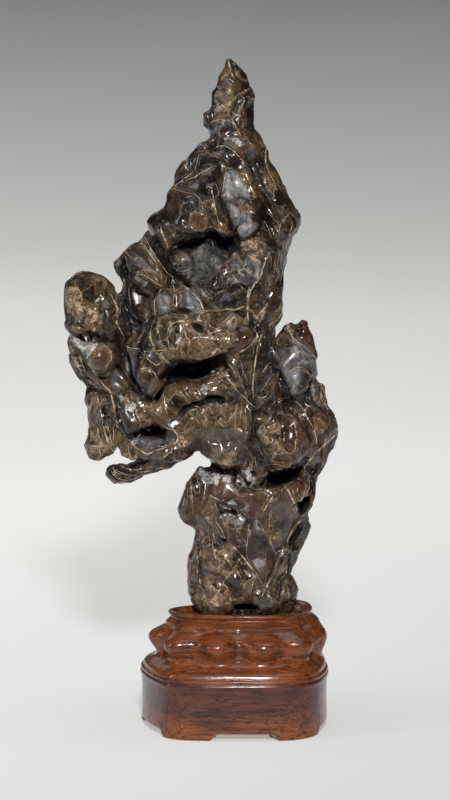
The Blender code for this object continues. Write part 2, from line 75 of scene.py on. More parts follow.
# ---------------------------------------------------------------- the stand's numbers
# The stand's middle, plan outlines, grooves and feet, as the solid has them.
STAND_MIDDLE = (19.7, 3.0)
BASE_PLAN = [
    (-24, -38), (-16, -45), (-4, -48), (20, -49), (46, -48.5), (60, -44), (69, -34), (74, -18), (75.6, 0),
    (72, 20), (62, 36), (44, 41), (20, 43), (-5, 41), (-22, 35), (-33, 20), (-36.8, 2), (-33, -18),
]
SHOULDER_PLAN = [
    (-20, -19), (-10, -29), (8, -34), (30, -35), (48, -33), (62, -23), (70, -6), (70, 10),
    (65, 22), (52, 29), (38, 29), (16, 24), (-2, 17), (-15, 7), (-22, -6),
]
LIP_PLAN = [
    (-17.5, -16), (-9, -23), (10, -27), (30, -28), (46, -26), (58, -17), (65, -5), (65, 8),
    (61, 17), (52, 22), (40, 21), (20, 14), (2, 6), (-12, 0), (-19, -7),
]
PLAN_MIDDLE = 19.5
# The angle of each groove between two lobes, and its depth.
GROOVES = [
    (-156, 6.5), (-122, 4.5), (-86, 4), (-51, 4), (-24, 5), (14, 5), (51, 5), (88, 4.5), (129, 5), (164, 5.5),
]
# The angles where each foot starts and ends.
FEET = [(-138, -107), (-61, -33), (4, 26), (44, 66), (114, 136), (154, 176)]
UNDERSIDE = 4.0
UNDERSIDE_INSETS = (30, 11)
FOOT_INSETS = (9.6, 1.6)
# The foot's inner bevel, and the rounding of its outer edge as (inset, rise).
FOOT_BEVEL = (10.2, 0.6)
FOOT_EDGE = [(0.9, 0.12), (0.4, 0.4), (0.1, 0.9), (0, 1.6)]
DRUM_TOP = 30.4
DRUM_WAIST = 0.35
DRUM_RINGS = 24
# Above the drum: height, place between lip 0, shoulder 1 and base 2, offset, and share of the groove depth.
PROFILE = [
    (30.8, 2, 0, 0), (31.5, 2, 0.6, 0), (32.5, 2, 0.85, 0), (33.5, 2, 0.6, 0), (34.2, 2, 0.1, 0),
    (34.9, 2, 0.45, 0), (35.7, 2, 0.5, 0), (36.4, 2, 0, 0), (37.1, 2, -0.9, 0), (38, 1.98, -0.8, 0),
    (39.6, 1.9, -0.5, 0), (41.2, 1.74, -0.5, 0.05), (43.4, 1.5, -0.3, 0.25), (46.2, 1.4, 0.6, 0.7),
    (50, 1.52, 1.5, 1.25), (54, 1.63, 1.8, 1.4), (57.4, 1.56, 1.5, 1.3), (60.4, 1.26, 1, 0.95),
    (62.8, 0.98, 0.8, 0.5), (64.8, 0.74, 0.8, 0.25), (66.5, 0.34, 0.1, 0.05), (68, 0.06, -0.6, 0),
    (69.2, 0, 0.1, 0), (70.2, 0, 0.9, 0), (71.2, 0, 0.8, 0), (71.8, 0, 0.1, 0), (72, 0, -1.2, 0),
]
PROFILE_STEPS = 7
# The fold in the lip: its angle and half its width, its height and half its height, and its rise.
FOLD_ANGLE, FOLD_SPREAD = -36, 8
FOLD_HEIGHT, FOLD_DEPTH, FOLD_RISE = 67.5, 2.4, 1.8
RIM_WIDTH = 2.4
# The recess for the rock, as (inset from the rim, height).
RECESS = [(1.0, 71.7), (1.8, 71.0), (2.6, 70.0), (3.4, 69.2), (5.0, 68.7), (9.0, 68.4), (14, 68.3)]

# ---------------------------------------------------------------- the rock's drawn marks
# They are drawn on panels of the front view. A panel has its left and top edges and its enlargement.
PANELS = {
    "peak": (170, 50, 13.63),
    "brow": (150, 120, 11.2),
    "shoulder": (225, 215, 13.07),
    "arch": (110, 220, 11.2),
    "wing": (60, 300, 8.714),
    "flank": (285, 360, 13.07),
    "tail": (190, 300, 11.2),
    "paw": (90, 425, 13.63),
    "hip": (180, 390, 12.06),
    "trunk": (195, 480, 11.2),
    "fork": (255, 440, 9.8),
    "tip": (165, 45, 9.055),
    "crown": (130, 115, 5.86),
    "left": (50, 240, 7.143),
    "middle": (145, 275, 4.98),
    "foot": (165, 440, 6.036),
    "boss": (145, 290, 8.333),
    "whole": (0, 0, 1),
}
# Each mark is its kind, and then its points on the panel, each across from the left and down from the top.
LINES = {}
LINES["peak"] = [
    ("bold", 800, 180, 850, 350),
    ("crack", 840, 170, 860, 230, 868, 320, 900, 380, 960, 430, 1050, 450),
    ("crest", 860, 230, 880, 320, 920, 380, 1000, 410),
    ("gold", 860, 680, 950, 590, 1010, 570, 1085, 515),
    ("vein", 950, 590, 1015, 690, 930, 845),
    ("hair", 1020, 600, 1070, 640, 1135, 655),
    ("hair", 950, 900, 1042, 1012),
    ("vein", 700, 740, 760, 800, 957, 1145),
    ("gold", 560, 980, 740, 930, 800, 890),
    ("hair", 500, 815, 580, 805, 660, 815),
]
LINES["brow"] = [
    ("gold", 560, 350, 680, 345, 740, 300, 800, 285, 870, 300, 930, 345, 1045, 465, 1047, 500),
    ("hair", 650, 365, 760, 430, 865, 540),
    ("hair", 700, 345, 800, 405, 880, 480),
    ("crack", 450, 465, 440, 520, 462, 560),
    ("gold", 410, 690, 440, 665, 500, 645, 545, 610, 680, 540),
    ("gold", 258, 768, 355, 680, 480, 590, 515, 525, 545, 380),
    ("gold", 250, 775, 400, 815, 480, 825, 520, 845, 555, 880, 585, 940, 592, 1000),
    ("vein", 655, 752, 690, 765, 755, 1100, 790, 1190, 860, 1285),
    ("hair", 590, 905, 650, 905, 712, 890),
    ("gold", 735, 720, 765, 790, 770, 830, 742, 865),
    ("hair", 870, 540, 920, 542, 985, 590, 1030, 655, 1062, 720, 1133, 930),
    ("crest", 740, 560, 775, 620, 780, 720, 760, 800, 760, 940, 790, 1060, 840, 1180, 862, 1280),
    ("valley", 800, 560, 795, 860, 870, 1060, 925, 1260),
    ("crest", 905, 1010, 935, 1090, 975, 1300),
    ("vein", 1305, 310, 1290, 420, 1300, 500, 1330, 590, 1405, 720),
    ("hair", 1405, 720, 1380, 800, 1400, 880),
    ("gold", 1320, 850, 1430, 1040, 1462, 1130, 1462, 1195),
    ("hair", 1330, 1040, 1455, 1180),
    ("vein", 920, 30, 1010, 165),
    ("gold", 435, 1190, 600, 1310),
    ("gold", 600, 1250, 640, 1203, 700, 1210, 860, 1292, 930, 1292, 950, 1235),
    ("streak", 125, 1235, 195, 1415),
    ("hair", 150, 1130, 210, 1200, 280, 1310),
    ("gold", 850, 545, 815, 800),
]
LINES["shoulder"] = [
    ("bold", 560, 540, 482, 720, 480, 780, 420, 850, 330, 1000, 310, 1100, 310, 1200, 290, 1330),
    ("crack", 590, 1010, 570, 1060, 560, 1130),
    ("gold", 560, 1130, 500, 1320, 450, 1390),
    ("gold", 540, 1185, 470, 1255, 425, 1335),
    ("hair", 620, 1290, 700, 1230, 722, 1190),
    ("vein", 600, 1425, 690, 1370, 752, 1280),
    ("hair", 760, 60, 800, 150, 790, 230),
    ("hair", 880, 0, 940, 60, 960, 120, 900, 230, 850, 290),
    ("hair", 830, 20, 880, 100, 870, 200, 820, 290),
    ("gold", 700, 0, 727, 110, 700, 260),
    ("gold", 520, 90, 560, 150, 602, 290),
    ("hair", 600, 540, 612, 620, 600, 680),
    ("gold", 660, 540, 650, 640, 672, 720),
    ("crack", 580, 640, 575, 740),
    ("gold", 780, 330, 740, 480, 730, 600, 735, 700),
    ("hair", 720, 480, 690, 620, 700, 800, 640, 900),
]
LINES["arch"] = [
    ("vein", 390, 170, 420, 250, 470, 340, 590, 520, 640, 590, 710, 640),
    ("vein", 352, 240, 510, 470, 555, 550, 587, 650),
    ("gold", 185, 362, 210, 402, 250, 432, 305, 452),
    ("gold", 350, 602, 500, 690, 550, 735, 590, 742, 622, 700, 636, 640),
    ("vein", 505, 1062, 495, 980, 500, 900, 572, 780),
    ("vein", 710, 640, 690, 700, 720, 760, 710, 940, 740, 970),
    ("hair", 740, 970, 790, 900, 800, 870, 780, 810),
    ("hair", 735, 790, 832, 738),
    ("vein", 740, 680, 900, 790, 960, 850, 1010, 920, 1052, 1032),
    ("crest", 520, 1060, 600, 1020, 690, 1000, 850, 990, 920, 1040, 980, 1100),
    ("vein", 1050, 1030, 1010, 1050, 990, 1110, 1012, 1130),
    ("bold", 1050, 1022, 1130, 1010, 1220, 1020, 1300, 992, 1400, 1000, 1500, 970),
    ("hair", 820, 1060, 900, 1150),
    ("vein", 650, 1230, 690, 1180, 750, 1140, 820, 1130, 900, 1150, 950, 1132, 1010, 1130),
    ("hair", 1060, 1150, 1120, 1190, 1190, 1220),
    ("gold", 455, 1200, 450, 1280, 492, 1400),
    ("vein", 10, 835, 102, 1010, 80, 1120, 120, 1250, 160, 1330),
    ("crack", 0, 680, 150, 830),
    ("crack", 440, 1180, 372, 1330, 342, 1450),
    ("crack", 155, 380, 140, 700, 160, 1000),
    ("valley", 700, 700, 760, 640, 720, 560, 640, 480, 560, 380, 500, 250),
]
LINES["wing"] = [
    ("crack", 148, 315, 205, 352),
    ("gold", 360, 372, 420, 410, 457, 470, 450, 520, 400, 590),
    ("vein", 460, 0, 500, 80, 480, 160, 510, 240, 550, 300, 565, 370),
    ("bold", 240, 545, 380, 740, 440, 800, 465, 900, 500, 1100, 560, 1190),
    ("crack", 487, 960, 512, 1080, 562, 1170, 612, 1210),
    ("hair", 170, 480, 200, 580, 250, 680, 320, 760),
    ("hair", 100, 330, 110, 440, 140, 540, 190, 650, 250, 720),
    ("vein", 300, 810, 360, 800, 430, 815),
    ("vein", 320, 830, 350, 940, 370, 1060, 440, 1280),
    ("hair", 400, 890, 430, 990, 440, 1090, 460, 1130),
    ("vein", 330, 1120, 340, 1200, 365, 1260),
    ("vein", 270, 1270, 350, 1280, 432, 1265),
    ("gold", 245, 1130, 240, 1000, 300, 830),
    ("gold", 440, 1270, 560, 1370, 620, 1382, 682, 1370),
    ("hair", 640, 1280, 760, 1340),
    ("vein", 760, 1340, 960, 1270, 1012, 1240),
    ("hair", 960, 1320, 920, 1360, 870, 1390),
    ("vein", 920, 1110, 990, 1130, 1030, 1180, 1012, 1240),
    ("vein", 560, 400, 620, 420, 692, 425),
    ("hair", 700, 440, 740, 500, 702, 550),
    ("vein", 740, 450, 905, 440),
    ("vein", 860, 440, 900, 500, 962, 560),
    ("vein", 710, 600, 770, 590, 830, 640, 845, 700),
    ("hair", 750, 500, 840, 575, 905, 520),
    ("vein", 540, 840, 590, 910),
    ("vein", 640, 990, 660, 1050, 722, 1110),
    ("vein", 1000, 720, 1140, 900, 1177, 930),
    ("crack", 1050, 975, 1100, 930, 1172, 905),
    ("gold", 900, 800, 940, 1030),
    ("crack", 540, 620, 580, 690, 720, 860, 790, 880, 830, 860),
    ("crack", 805, 220, 740, 320, 700, 420, 690, 480),
    ("crack", 545, 20, 570, 300),
    ("gold", 790, 230, 785, 330, 800, 380, 830, 440),
]
LINES["flank"] = [
    ("vein", 150, 545, 220, 620, 380, 910, 405, 1000, 412, 1080),
    ("gold", 30, 620, 90, 630, 150, 660),
    ("hair", 185, 720, 250, 890),
    ("gold", 120, 690, 125, 800, 165, 1060, 160, 1180),
    ("gold", 455, 290, 470, 400, 465, 500, 560, 640),
    ("hair", 500, 330, 530, 400, 535, 560),
    ("bold", 690, 930, 640, 1000, 560, 1070, 460, 1190),
    ("vein", 540, 1000, 520, 1080, 470, 1180, 455, 1250, 475, 1290),
    ("crack", 490, 1170, 485, 1270),
    ("hair", 370, 1310, 410, 1350, 430, 1310, 490, 1290),
    ("gold", 340, 1270, 225, 1445),
    ("vein", 410, 1360, 370, 1460, 320, 1530),
    ("crack", 425, 1370, 390, 1480),
    ("hair", 510, 1160, 500, 1400),
    ("hair", 205, 1200, 190, 1300, 140, 1350),
    ("crack", 310, 300, 290, 480, 320, 560),
    ("vein", 305, 320, 270, 400, 210, 450),
]
LINES["tail"] = [
    ("vein", 115, 0, 160, 127),
    ("bold", 160, 130, 220, 115, 300, 120, 390, 105, 500, 115, 600, 75),
    ("hair", 300, 330, 460, 160),
    ("vein", 490, 170, 420, 340),
    ("gold", 690, 110, 740, 190, 762, 210),
    ("gold", 852, 70, 757, 190),
    ("vein", 720, 330, 757, 380, 740, 450, 640, 550, 560, 585),
    ("bold", 800, 400, 770, 470, 735, 660, 705, 900, 700, 1000, 710, 1080),
    ("gold", 820, 800, 850, 745, 890, 705),
    ("vein", 800, 1022, 900, 870, 937, 830),
    ("gold", 740, 1070, 800, 1100, 860, 1082, 870, 1040),
    ("vein", 60, 530, 120, 470, 190, 430),
    ("vein", 0, 490, 112, 600),
    ("hair", 330, 540, 360, 460, 340, 430),
    ("gold", 0, 697, 100, 687, 200, 650, 280, 592, 340, 562, 430, 540),
    ("vein", 1110, 380, 1220, 480, 1300, 530, 1422, 660),
    ("gold", 1130, 790, 1180, 760, 1250, 750, 1310, 790, 1332, 830),
    ("crack", 1342, 930, 1310, 1060, 1330, 1130),
    ("hair", 1330, 910, 1310, 990, 1240, 1060),
    ("gold", 1450, 900, 1530, 1080, 1560, 1180),
    ("hair", 1460, 960, 1475, 1060, 1530, 1180),
    ("hair", 1130, 1130, 1200, 1150, 1260, 1220, 1320, 1320),
    ("gold", 920, 1180, 960, 1130, 1010, 1100),
    ("hair", 390, 660, 500, 800, 530, 880),
    ("vein", 350, 800, 490, 960, 530, 1020, 620, 1100, 682, 1170),
    ("hair", 0, 1020, 60, 1060, 112, 1120),
    ("hair", 560, 660, 590, 780, 640, 900, 660, 1040),
    ("hair", 500, 700, 590, 960, 650, 1090),
]
LINES["paw"] = [
    ("vein", 165, 0, 240, 230, 290, 320, 350, 370),
    ("hair", 110, 60, 130, 180, 160, 270),
    ("gold", 240, 0, 290, 230, 380, 350, 480, 440),
    ("vein", 310, 20, 325, 130, 320, 250),
    ("vein", 310, 350, 450, 520, 520, 550, 590, 530, 650, 490),
    ("vein", 390, 80, 430, 140, 540, 215),
    ("crack", 410, 0, 460, 120, 530, 195, 600, 160),
    ("gold", 520, 270, 540, 430),
    ("vein", 620, 300, 760, 400),
    ("vein", 760, 430, 930, 330, 1060, 300, 1160, 240),
    ("bold", 1180, 230, 1130, 300, 1110, 370, 960, 470),
    ("vein", 1050, 50, 1130, 70, 1190, 140, 1210, 230, 1240, 300),
    ("hair", 1190, 140, 1250, 100, 1330, 90),
    ("hair", 1210, 180, 1280, 190, 1370, 270),
    ("hair", 1200, 240, 1230, 340, 1210, 440),
    ("hair", 0, 200, 80, 160, 120, 90),
    ("gold", 0, 330, 60, 290, 130, 310, 210, 290),
    ("gold", 120, 330, 150, 420, 110, 470),
    ("hair", 420, 560, 700, 640, 860, 620, 980, 580, 1060, 590),
    ("hair", 360, 620, 500, 680, 640, 690, 760, 660),
    ("gold", 280, 620, 360, 720, 480, 760, 600, 740, 680, 690),
    ("hair", 320, 560, 330, 660, 420, 720),
    ("crack", 560, 560, 850, 470, 930, 480),
    ("crack", 340, 540, 400, 600, 480, 640),
]
LINES["hip"] = [
    ("vein", 0, 20, 152, 170),
    ("crack", 0, 272, 50, 222, 172, 170),
    ("vein", 150, 170, 230, 210, 360, 320, 425, 350),
    ("hair", 430, 340, 340, 190),
    ("hair", 430, 340, 512, 240),
    ("vein", 430, 345, 520, 432),
    ("gold", 430, 345, 560, 400, 660, 280, 680, 200),
    ("hair", 80, 250, 150, 300, 200, 350, 230, 400),
    ("hair", 640, 180, 600, 400),
    ("gold", 680, 190, 660, 450),
    ("hair", 740, 200, 720, 420),
    ("hair", 790, 230, 800, 470),
    ("hair", 850, 250, 860, 380, 845, 500),
    ("gold", 200, 802, 300, 800, 470, 862, 560, 872, 640, 860, 762, 775),
    ("hair", 430, 680, 480, 700, 500, 802),
    ("hair", 480, 680, 522, 730, 512, 790),
    ("hair", 760, 780, 700, 900),
    ("hair", 820, 770, 780, 930),
    ("gold", 870, 770, 872, 860, 860, 950),
    ("hair", 900, 820, 935, 960),
    ("bold", 1225, 680, 1270, 750, 1340, 770, 1385, 720, 1392, 640),
    ("gold", 1080, 900, 1180, 900, 1302, 930),
    ("hair", 1100, 960, 1292, 948),
    ("vein", 1410, 1352, 1470, 1310, 1530, 1160),
    ("bold", 730, 1100, 780, 1130, 800, 1190, 850, 1222, 902, 1200),
    ("bold", 1270, 1160, 1310, 1220, 1402, 1430),
    ("vein", 1290, 1150, 1230, 1200, 1180, 1282),
    ("vein", 1100, 1310, 1050, 1370, 1020, 1442),
    ("vein", 160, 960, 130, 1100, 160, 1400, 150, 1500),
    ("hair", 60, 1300, 20, 1450),
    ("hair", 250, 1080, 232, 1250),
    ("hair", 200, 960, 215, 1080, 205, 1240),
    ("vein", 360, 1270, 500, 1342, 552, 1310),
    ("valley", 880, 600, 960, 700, 1020, 800, 1060, 900, 1080, 1000),
    ("gold", 870, 580, 930, 660, 985, 760),
    ("gold", 1270, 330, 1340, 380, 1400, 520, 1410, 640),
]
LINES["trunk"] = [
    ("hair", 190, 280, 200, 380, 180, 470, 210, 580, 205, 660),
    ("vein", 205, 600, 212, 650, 190, 720, 250, 930),
    ("hair", 150, 450, 150, 600, 170, 720),
    ("hair", 70, 530, 100, 650, 80, 760),
    ("hair", 230, 500, 270, 600, 322, 660),
    ("hair", 290, 400, 382, 600),
    ("hair", 340, 380, 402, 620),
    ("gold", 520, 340, 560, 390, 592, 410),
    ("hair", 500, 590, 530, 660, 582, 740),
    ("gold", 605, 530, 570, 830, 600, 900, 770, 1190),
    ("bold", 440, 760, 560, 890, 642, 1002),
    ("gold", 540, 870, 490, 900, 450, 980, 530, 1120, 552, 1190),
    ("gold", 655, 1130, 630, 1242),
    ("gold", 270, 962, 350, 870, 430, 1000),
    ("vein", 310, 1160, 360, 1200, 370, 1270, 402, 1330),
    ("vein", 387, 1048, 210, 1302),
    ("hair", 130, 1100, 230, 1230, 292, 1280),
    ("hair", 170, 1150, 182, 1290),
    ("bold", 60, 800, 20, 1000, 62, 1182),
    ("bold", 30, 1320, 70, 1342, 102, 1310),
    ("vein", 750, 540, 830, 600, 850, 700, 880, 780, 942, 880),
    ("vein", 830, 580, 840, 370, 862, 340),
    ("bold", 860, 200, 780, 332),
    ("bold", 1020, 80, 1110, 240, 1140, 332),
    ("vein", 920, 192, 960, 130, 1000, 90),
    ("gold", 980, 742, 1000, 780, 940, 880, 860, 1100, 780, 1230, 750, 1302),
    ("crack", 960, 780, 905, 880, 870, 1000, 820, 1100),
    ("vein", 1190, 440, 1130, 500, 1060, 600, 1032, 690),
    ("crack", 1180, 490, 1062, 705),
    ("gold", 1010, 980, 1032, 1040, 1000, 1092),
    ("hair", 820, 1240, 862, 1360),
    ("gold", 240, 470, 300, 560, 330, 640),
    ("hair", 460, 300, 500, 420, 520, 520),
    ("hair", 420, 440, 470, 540, 480, 640),
]
LINES["fork"] = [
    ("gold", 465, 290, 560, 180, 585, 120),
    ("vein", 610, 110, 720, 10),
    ("hair", 560, 180, 600, 220, 650, 190),
    ("vein", 590, 240, 560, 320, 520, 370),
    ("crack", 600, 250, 570, 330),
    ("hair", 530, 380, 540, 460, 500, 540),
    ("gold", 560, 500, 600, 460, 610, 420),
    ("hair", 490, 540, 590, 610),
    ("crack", 420, 610, 440, 700, 460, 720),
    ("vein", 445, 800, 380, 860, 330, 960, 325, 1000),
    ("gold", 270, 1100, 320, 1050, 330, 1100),
    ("hair", 560, 400, 600, 440, 610, 560),
]
LINES["tip"] = [
    ("crest", 580, 150, 590, 240, 640, 305, 740, 330),
    ("valley", 640, 320, 740, 345, 790, 400),
    ("rift", 440, 830, 405, 860, 440, 930, 420, 960),
    ("crest", 470, 340, 560, 420, 600, 520, 590, 620),
    ("valley", 700, 420, 650, 520, 620, 600),
    ("valley", 780, 560, 760, 660, 780, 760, 850, 860),
]
LINES["crown"] = [
    ("crest", 790, 180, 800, 260, 830, 350, 900, 520),
    ("rift", 735, 290, 780, 410, 830, 500, 885, 625),
    ("rift", 555, 525, 632, 750),
    ("valley", 700, 230, 720, 330, 790, 540, 800, 640),
    ("crest", 345, 650, 395, 700, 430, 695, 455, 668, 500, 672, 560, 700, 610, 705),
    ("crest", 450, 745, 455, 800, 445, 850),
    ("valley", 330, 820, 345, 900, 400, 980),
    ("valley", 500, 830, 520, 900, 500, 980),
    ("crest", 420, 860, 430, 920, 410, 980),
    ("crest", 600, 880, 640, 930, 690, 950),
    ("rift", 90, 700, 210, 870, 250, 940),
    ("rift", 440, 150, 470, 120, 480, 180),
]
LINES["left"] = [
    ("rift", 410, 250, 515, 380, 530, 470, 540, 600, 540, 700, 525, 760, 505, 915),
    ("rift", 735, 560, 662, 740, 598, 1010, 640, 1085, 710, 1135, 770, 1090),
    ("rift", 470, 1130, 490, 1280, 520, 1370, 560, 1420, 600, 1400),
    ("rift", 530, 110, 520, 200, 515, 370),
    ("crack", 545, 500, 600, 580, 655, 585),
    ("rift", 255, 1020, 295, 1045, 330, 1085, 420, 1100),
    ("valley", 215, 830, 300, 1030),
    ("crest", 270, 860, 320, 960, 430, 1100),
    ("valley", 150, 760, 200, 950, 250, 1010),
    ("crest", 450, 1110, 455, 1190, 470, 1280, 510, 1380),
]
LINES["middle"] = [
    ("rift", 610, 250, 625, 300, 640, 480, 700, 570, 718, 640),
    ("rift", 165, 705, 200, 665, 260, 645, 330, 612, 390, 622),
    ("rift", 815, 530, 820, 600, 840, 640, 900, 690),
    ("rift", 540, 820, 530, 740, 545, 690, 600, 690),
    ("valley", 520, 620, 560, 680, 640, 660),
    ("crest", 110, 560, 180, 540, 280, 560, 400, 480),
    ("valley", 480, 480, 510, 560, 530, 640),
    ("crest", 430, 440, 480, 520, 520, 600),
    ("rift", 690, 640, 790, 760, 830, 830),
    ("crest", 740, 650, 800, 700, 840, 780, 855, 860),
    ("hair", 712, 505, 765, 455, 818, 495),
    ("hair", 300, 790, 330, 850, 335, 900),
    ("hair", 345, 800, 385, 850, 395, 910),
    ("hair", 440, 800, 500, 850, 530, 900),
    ("hair", 395, 780, 440, 850, 450, 900),
]
LINES["foot"] = [
    ("rift", 195, 125, 250, 130, 350, 185, 420, 180, 430, 240, 480, 290, 540, 305),
    ("rift", 750, 700, 745, 800, 700, 860, 690, 950),
    ("valley", 600, 930, 560, 900, 500, 830, 440, 700),
    ("crack", 200, 650, 210, 760, 200, 860, 240, 900),
    ("crest", 735, 650, 640, 840, 580, 940),
    ("rift", 860, 180, 885, 205, 905, 300, 885, 440),
    ("valley", 600, 640, 660, 700, 690, 700),
]
LINES["boss"] = [
    ("gold", 85, 210, 45, 330, 50, 420, 100, 520, 160, 580, 210, 605),
    ("bold", 195, 330, 215, 290, 270, 262, 340, 262, 375, 275),
    ("hair", 195, 330, 180, 400, 205, 450),
    ("vein", 330, 340, 345, 395, 425, 470),
    ("bold", 425, 470, 455, 420, 510, 390),
    ("hair", 280, 350, 310, 580),
    ("hair", 560, 380, 588, 430, 585, 480, 550, 550),
    ("vein", 520, 370, 640, 330),
    ("hair", 590, 480, 640, 400),
    ("bold", 942, 370, 905, 430, 840, 490, 770, 530),
    ("bold", 860, 0, 852, 110, 860, 250),
    ("gold", 870, 150, 930, 240, 1000, 140),
    ("bold", 345, 215, 385, 270),
    ("hair", 250, 775, 300, 850, 360, 910),
]
PATCHES = {}
PATCHES["peak"] = [
    ("red", 950, 430, 1060, 480, 1160, 640, 1150, 700, 1060, 640, 940, 500),
    ("white", 860, 850, 920, 860, 945, 900, 890, 892),
    ("tan", 965, 975, 1010, 970, 1045, 1025, 1000, 1010),
    ("tan", 640, 480, 700, 490, 760, 540, 830, 510, 900, 620, 830, 740, 850, 800, 800, 860, 760, 790,
     610, 650, 640, 580),
    ("tan", 640, 850, 740, 860, 780, 900, 640, 950),
    ("white", 690, 970, 740, 960, 750, 1030, 700, 1025),
    ("white", 735, 1245, 780, 1160, 860, 1200, 940, 1210, 1015, 1290, 960, 1305, 880, 1240, 800, 1220),
    ("ochre", 1080, 1280, 1150, 1255, 1195, 1290, 1140, 1335),
    ("slate", 600, 1000, 660, 980, 680, 1050, 640, 1130, 590, 1140, 570, 1090),
    ("slate", 760, 960, 850, 1000, 930, 1150, 860, 1160, 740, 1050),
    ("slate", 700, 420, 780, 400, 800, 470, 760, 520, 700, 480),
    ("slate", 860, 640, 950, 620, 1000, 690, 960, 780, 900, 840, 840, 800),
    ("tan", 890, 300, 940, 310, 950, 360, 910, 365),
    ("slate", 460, 1270, 540, 1260, 580, 1310, 540, 1350, 470, 1340),
]
PATCHES["brow"] = [
    ("slate", 860, 560, 920, 545, 980, 590, 1030, 660, 1070, 740, 1090, 830, 1085, 880, 1000, 860,
     960, 880, 930, 920, 900, 930, 850, 920, 810, 880, 810, 800),
    ("slate", 900, 930, 1100, 1120, 1180, 1180, 1250, 1200, 1120, 1320, 1000, 1370, 895, 1000),
    ("tan", 970, 880, 1010, 860, 1050, 870, 1090, 930, 1130, 1040, 1090, 1040, 1040, 1000, 990, 940),
    ("red", 1350, 930, 1440, 1070, 1450, 1150, 1400, 1110, 1360, 1030),
    ("ochre", 1100, 265, 1150, 250, 1200, 290, 1170, 325, 1120, 310),
    ("ochre", 450, 1050, 490, 1020, 560, 1030, 610, 1050, 640, 1100, 650, 1190, 570, 1285, 460, 1180,
     435, 1110),
    ("ochre", 650, 1190, 720, 1160, 770, 1190, 840, 1150, 860, 1200, 860, 1280, 800, 1270),
    ("slate", 440, 900, 500, 860, 550, 890, 585, 940, 580, 1005, 520, 1015, 450, 1000, 430, 950),
    ("calm", 560, 380, 830, 310, 980, 420, 1040, 520, 1000, 580, 860, 540, 800, 860, 840, 1000,
     850, 1180, 820, 1250, 700, 1190, 600, 1000, 560, 880, 480, 820, 300, 780, 420, 680, 530, 500),
    ("calm", 240, 800, 480, 840, 440, 920, 440, 1180, 300, 1250, 100, 1180, 150, 1000),
]
PATCHES["shoulder"] = [
    ("crust", 190, 340, 280, 320, 350, 255, 430, 235, 500, 185, 545, 240, 550, 310, 440, 265, 380, 290,
     270, 400, 195, 400),
    ("crust", 380, 330, 440, 330, 510, 390, 505, 470, 440, 640, 380, 630, 330, 570, 260, 550, 150, 590,
     150, 545, 250, 510),
    ("ochre", 530, 1190, 425, 1340, 440, 1370, 500, 1310, 530, 1240),
    ("ochre", 640, 1300, 720, 1210, 760, 1270, 740, 1340, 600, 1430),
    ("shaded_pit", 755, 212, 800, 207, 820, 225, 785, 232),
    ("tan", 590, 700, 630, 690, 650, 730, 610, 760),
    ("slate", 540, 320, 590, 330, 610, 370, 560, 390),
    ("calm", 400, 900, 480, 800, 540, 760, 570, 900, 560, 1100, 480, 1220, 400, 1280, 330, 1200,
     330, 1050),
    ("calm", 600, 1000, 700, 930, 740, 1000, 720, 1180, 500, 1400, 480, 1340, 560, 1180),
]
PATCHES["arch"] = [
    ("agate", 340, 570, 400, 540, 480, 560, 560, 600, 620, 600, 635, 640, 600, 720, 560, 745, 350, 610),
    ("slate", 530, 880, 600, 830, 670, 850, 695, 900, 690, 960, 620, 1010, 540, 1040, 515, 980),
    ("slate", 800, 790, 880, 800, 1010, 930, 1035, 1010, 980, 1060, 900, 1000, 820, 980, 790, 900),
    ("slate", 720, 700, 780, 690, 830, 740, 770, 780, 730, 760),
    ("shaded_pit", 925, 1165, 985, 1155, 1035, 1190, 1042, 1240, 1020, 1262, 960, 1235, 925, 1205),
    ("agate", 545, 1085, 600, 1080, 670, 1100, 725, 1140, 680, 1160, 640, 1200, 550, 1150),
    ("red", 1030, 1130, 1080, 1150, 1120, 1200, 1090, 1280, 1050, 1270, 1050, 1200),
    ("shaded_pit", 272, 1128, 330, 1118, 372, 1150, 345, 1168),
    ("slate", 240, 1150, 330, 1150, 355, 1190, 330, 1240, 260, 1230),
    ("tan", 440, 1340, 520, 1330, 640, 1380, 700, 1450, 560, 1456, 480, 1440),
    ("slate", 35, 480, 120, 430, 140, 560, 120, 700, 60, 620),
    ("calm", 390, 170, 560, 420, 640, 600, 520, 900, 500, 1040, 440, 1150, 200, 1080, 160, 900,
     160, 500, 200, 330),
    ("calm", 420, 0, 880, 0, 900, 120, 1040, 180, 720, 230, 640, 420, 430, 180),
    ("rough", 1050, 240, 1180, 270, 1300, 380, 1456, 420, 1568, 430, 1568, 900, 1400, 960, 1240, 990,
     1060, 1000, 960, 830, 720, 640, 650, 540, 680, 400, 800, 330, 960, 320),
]
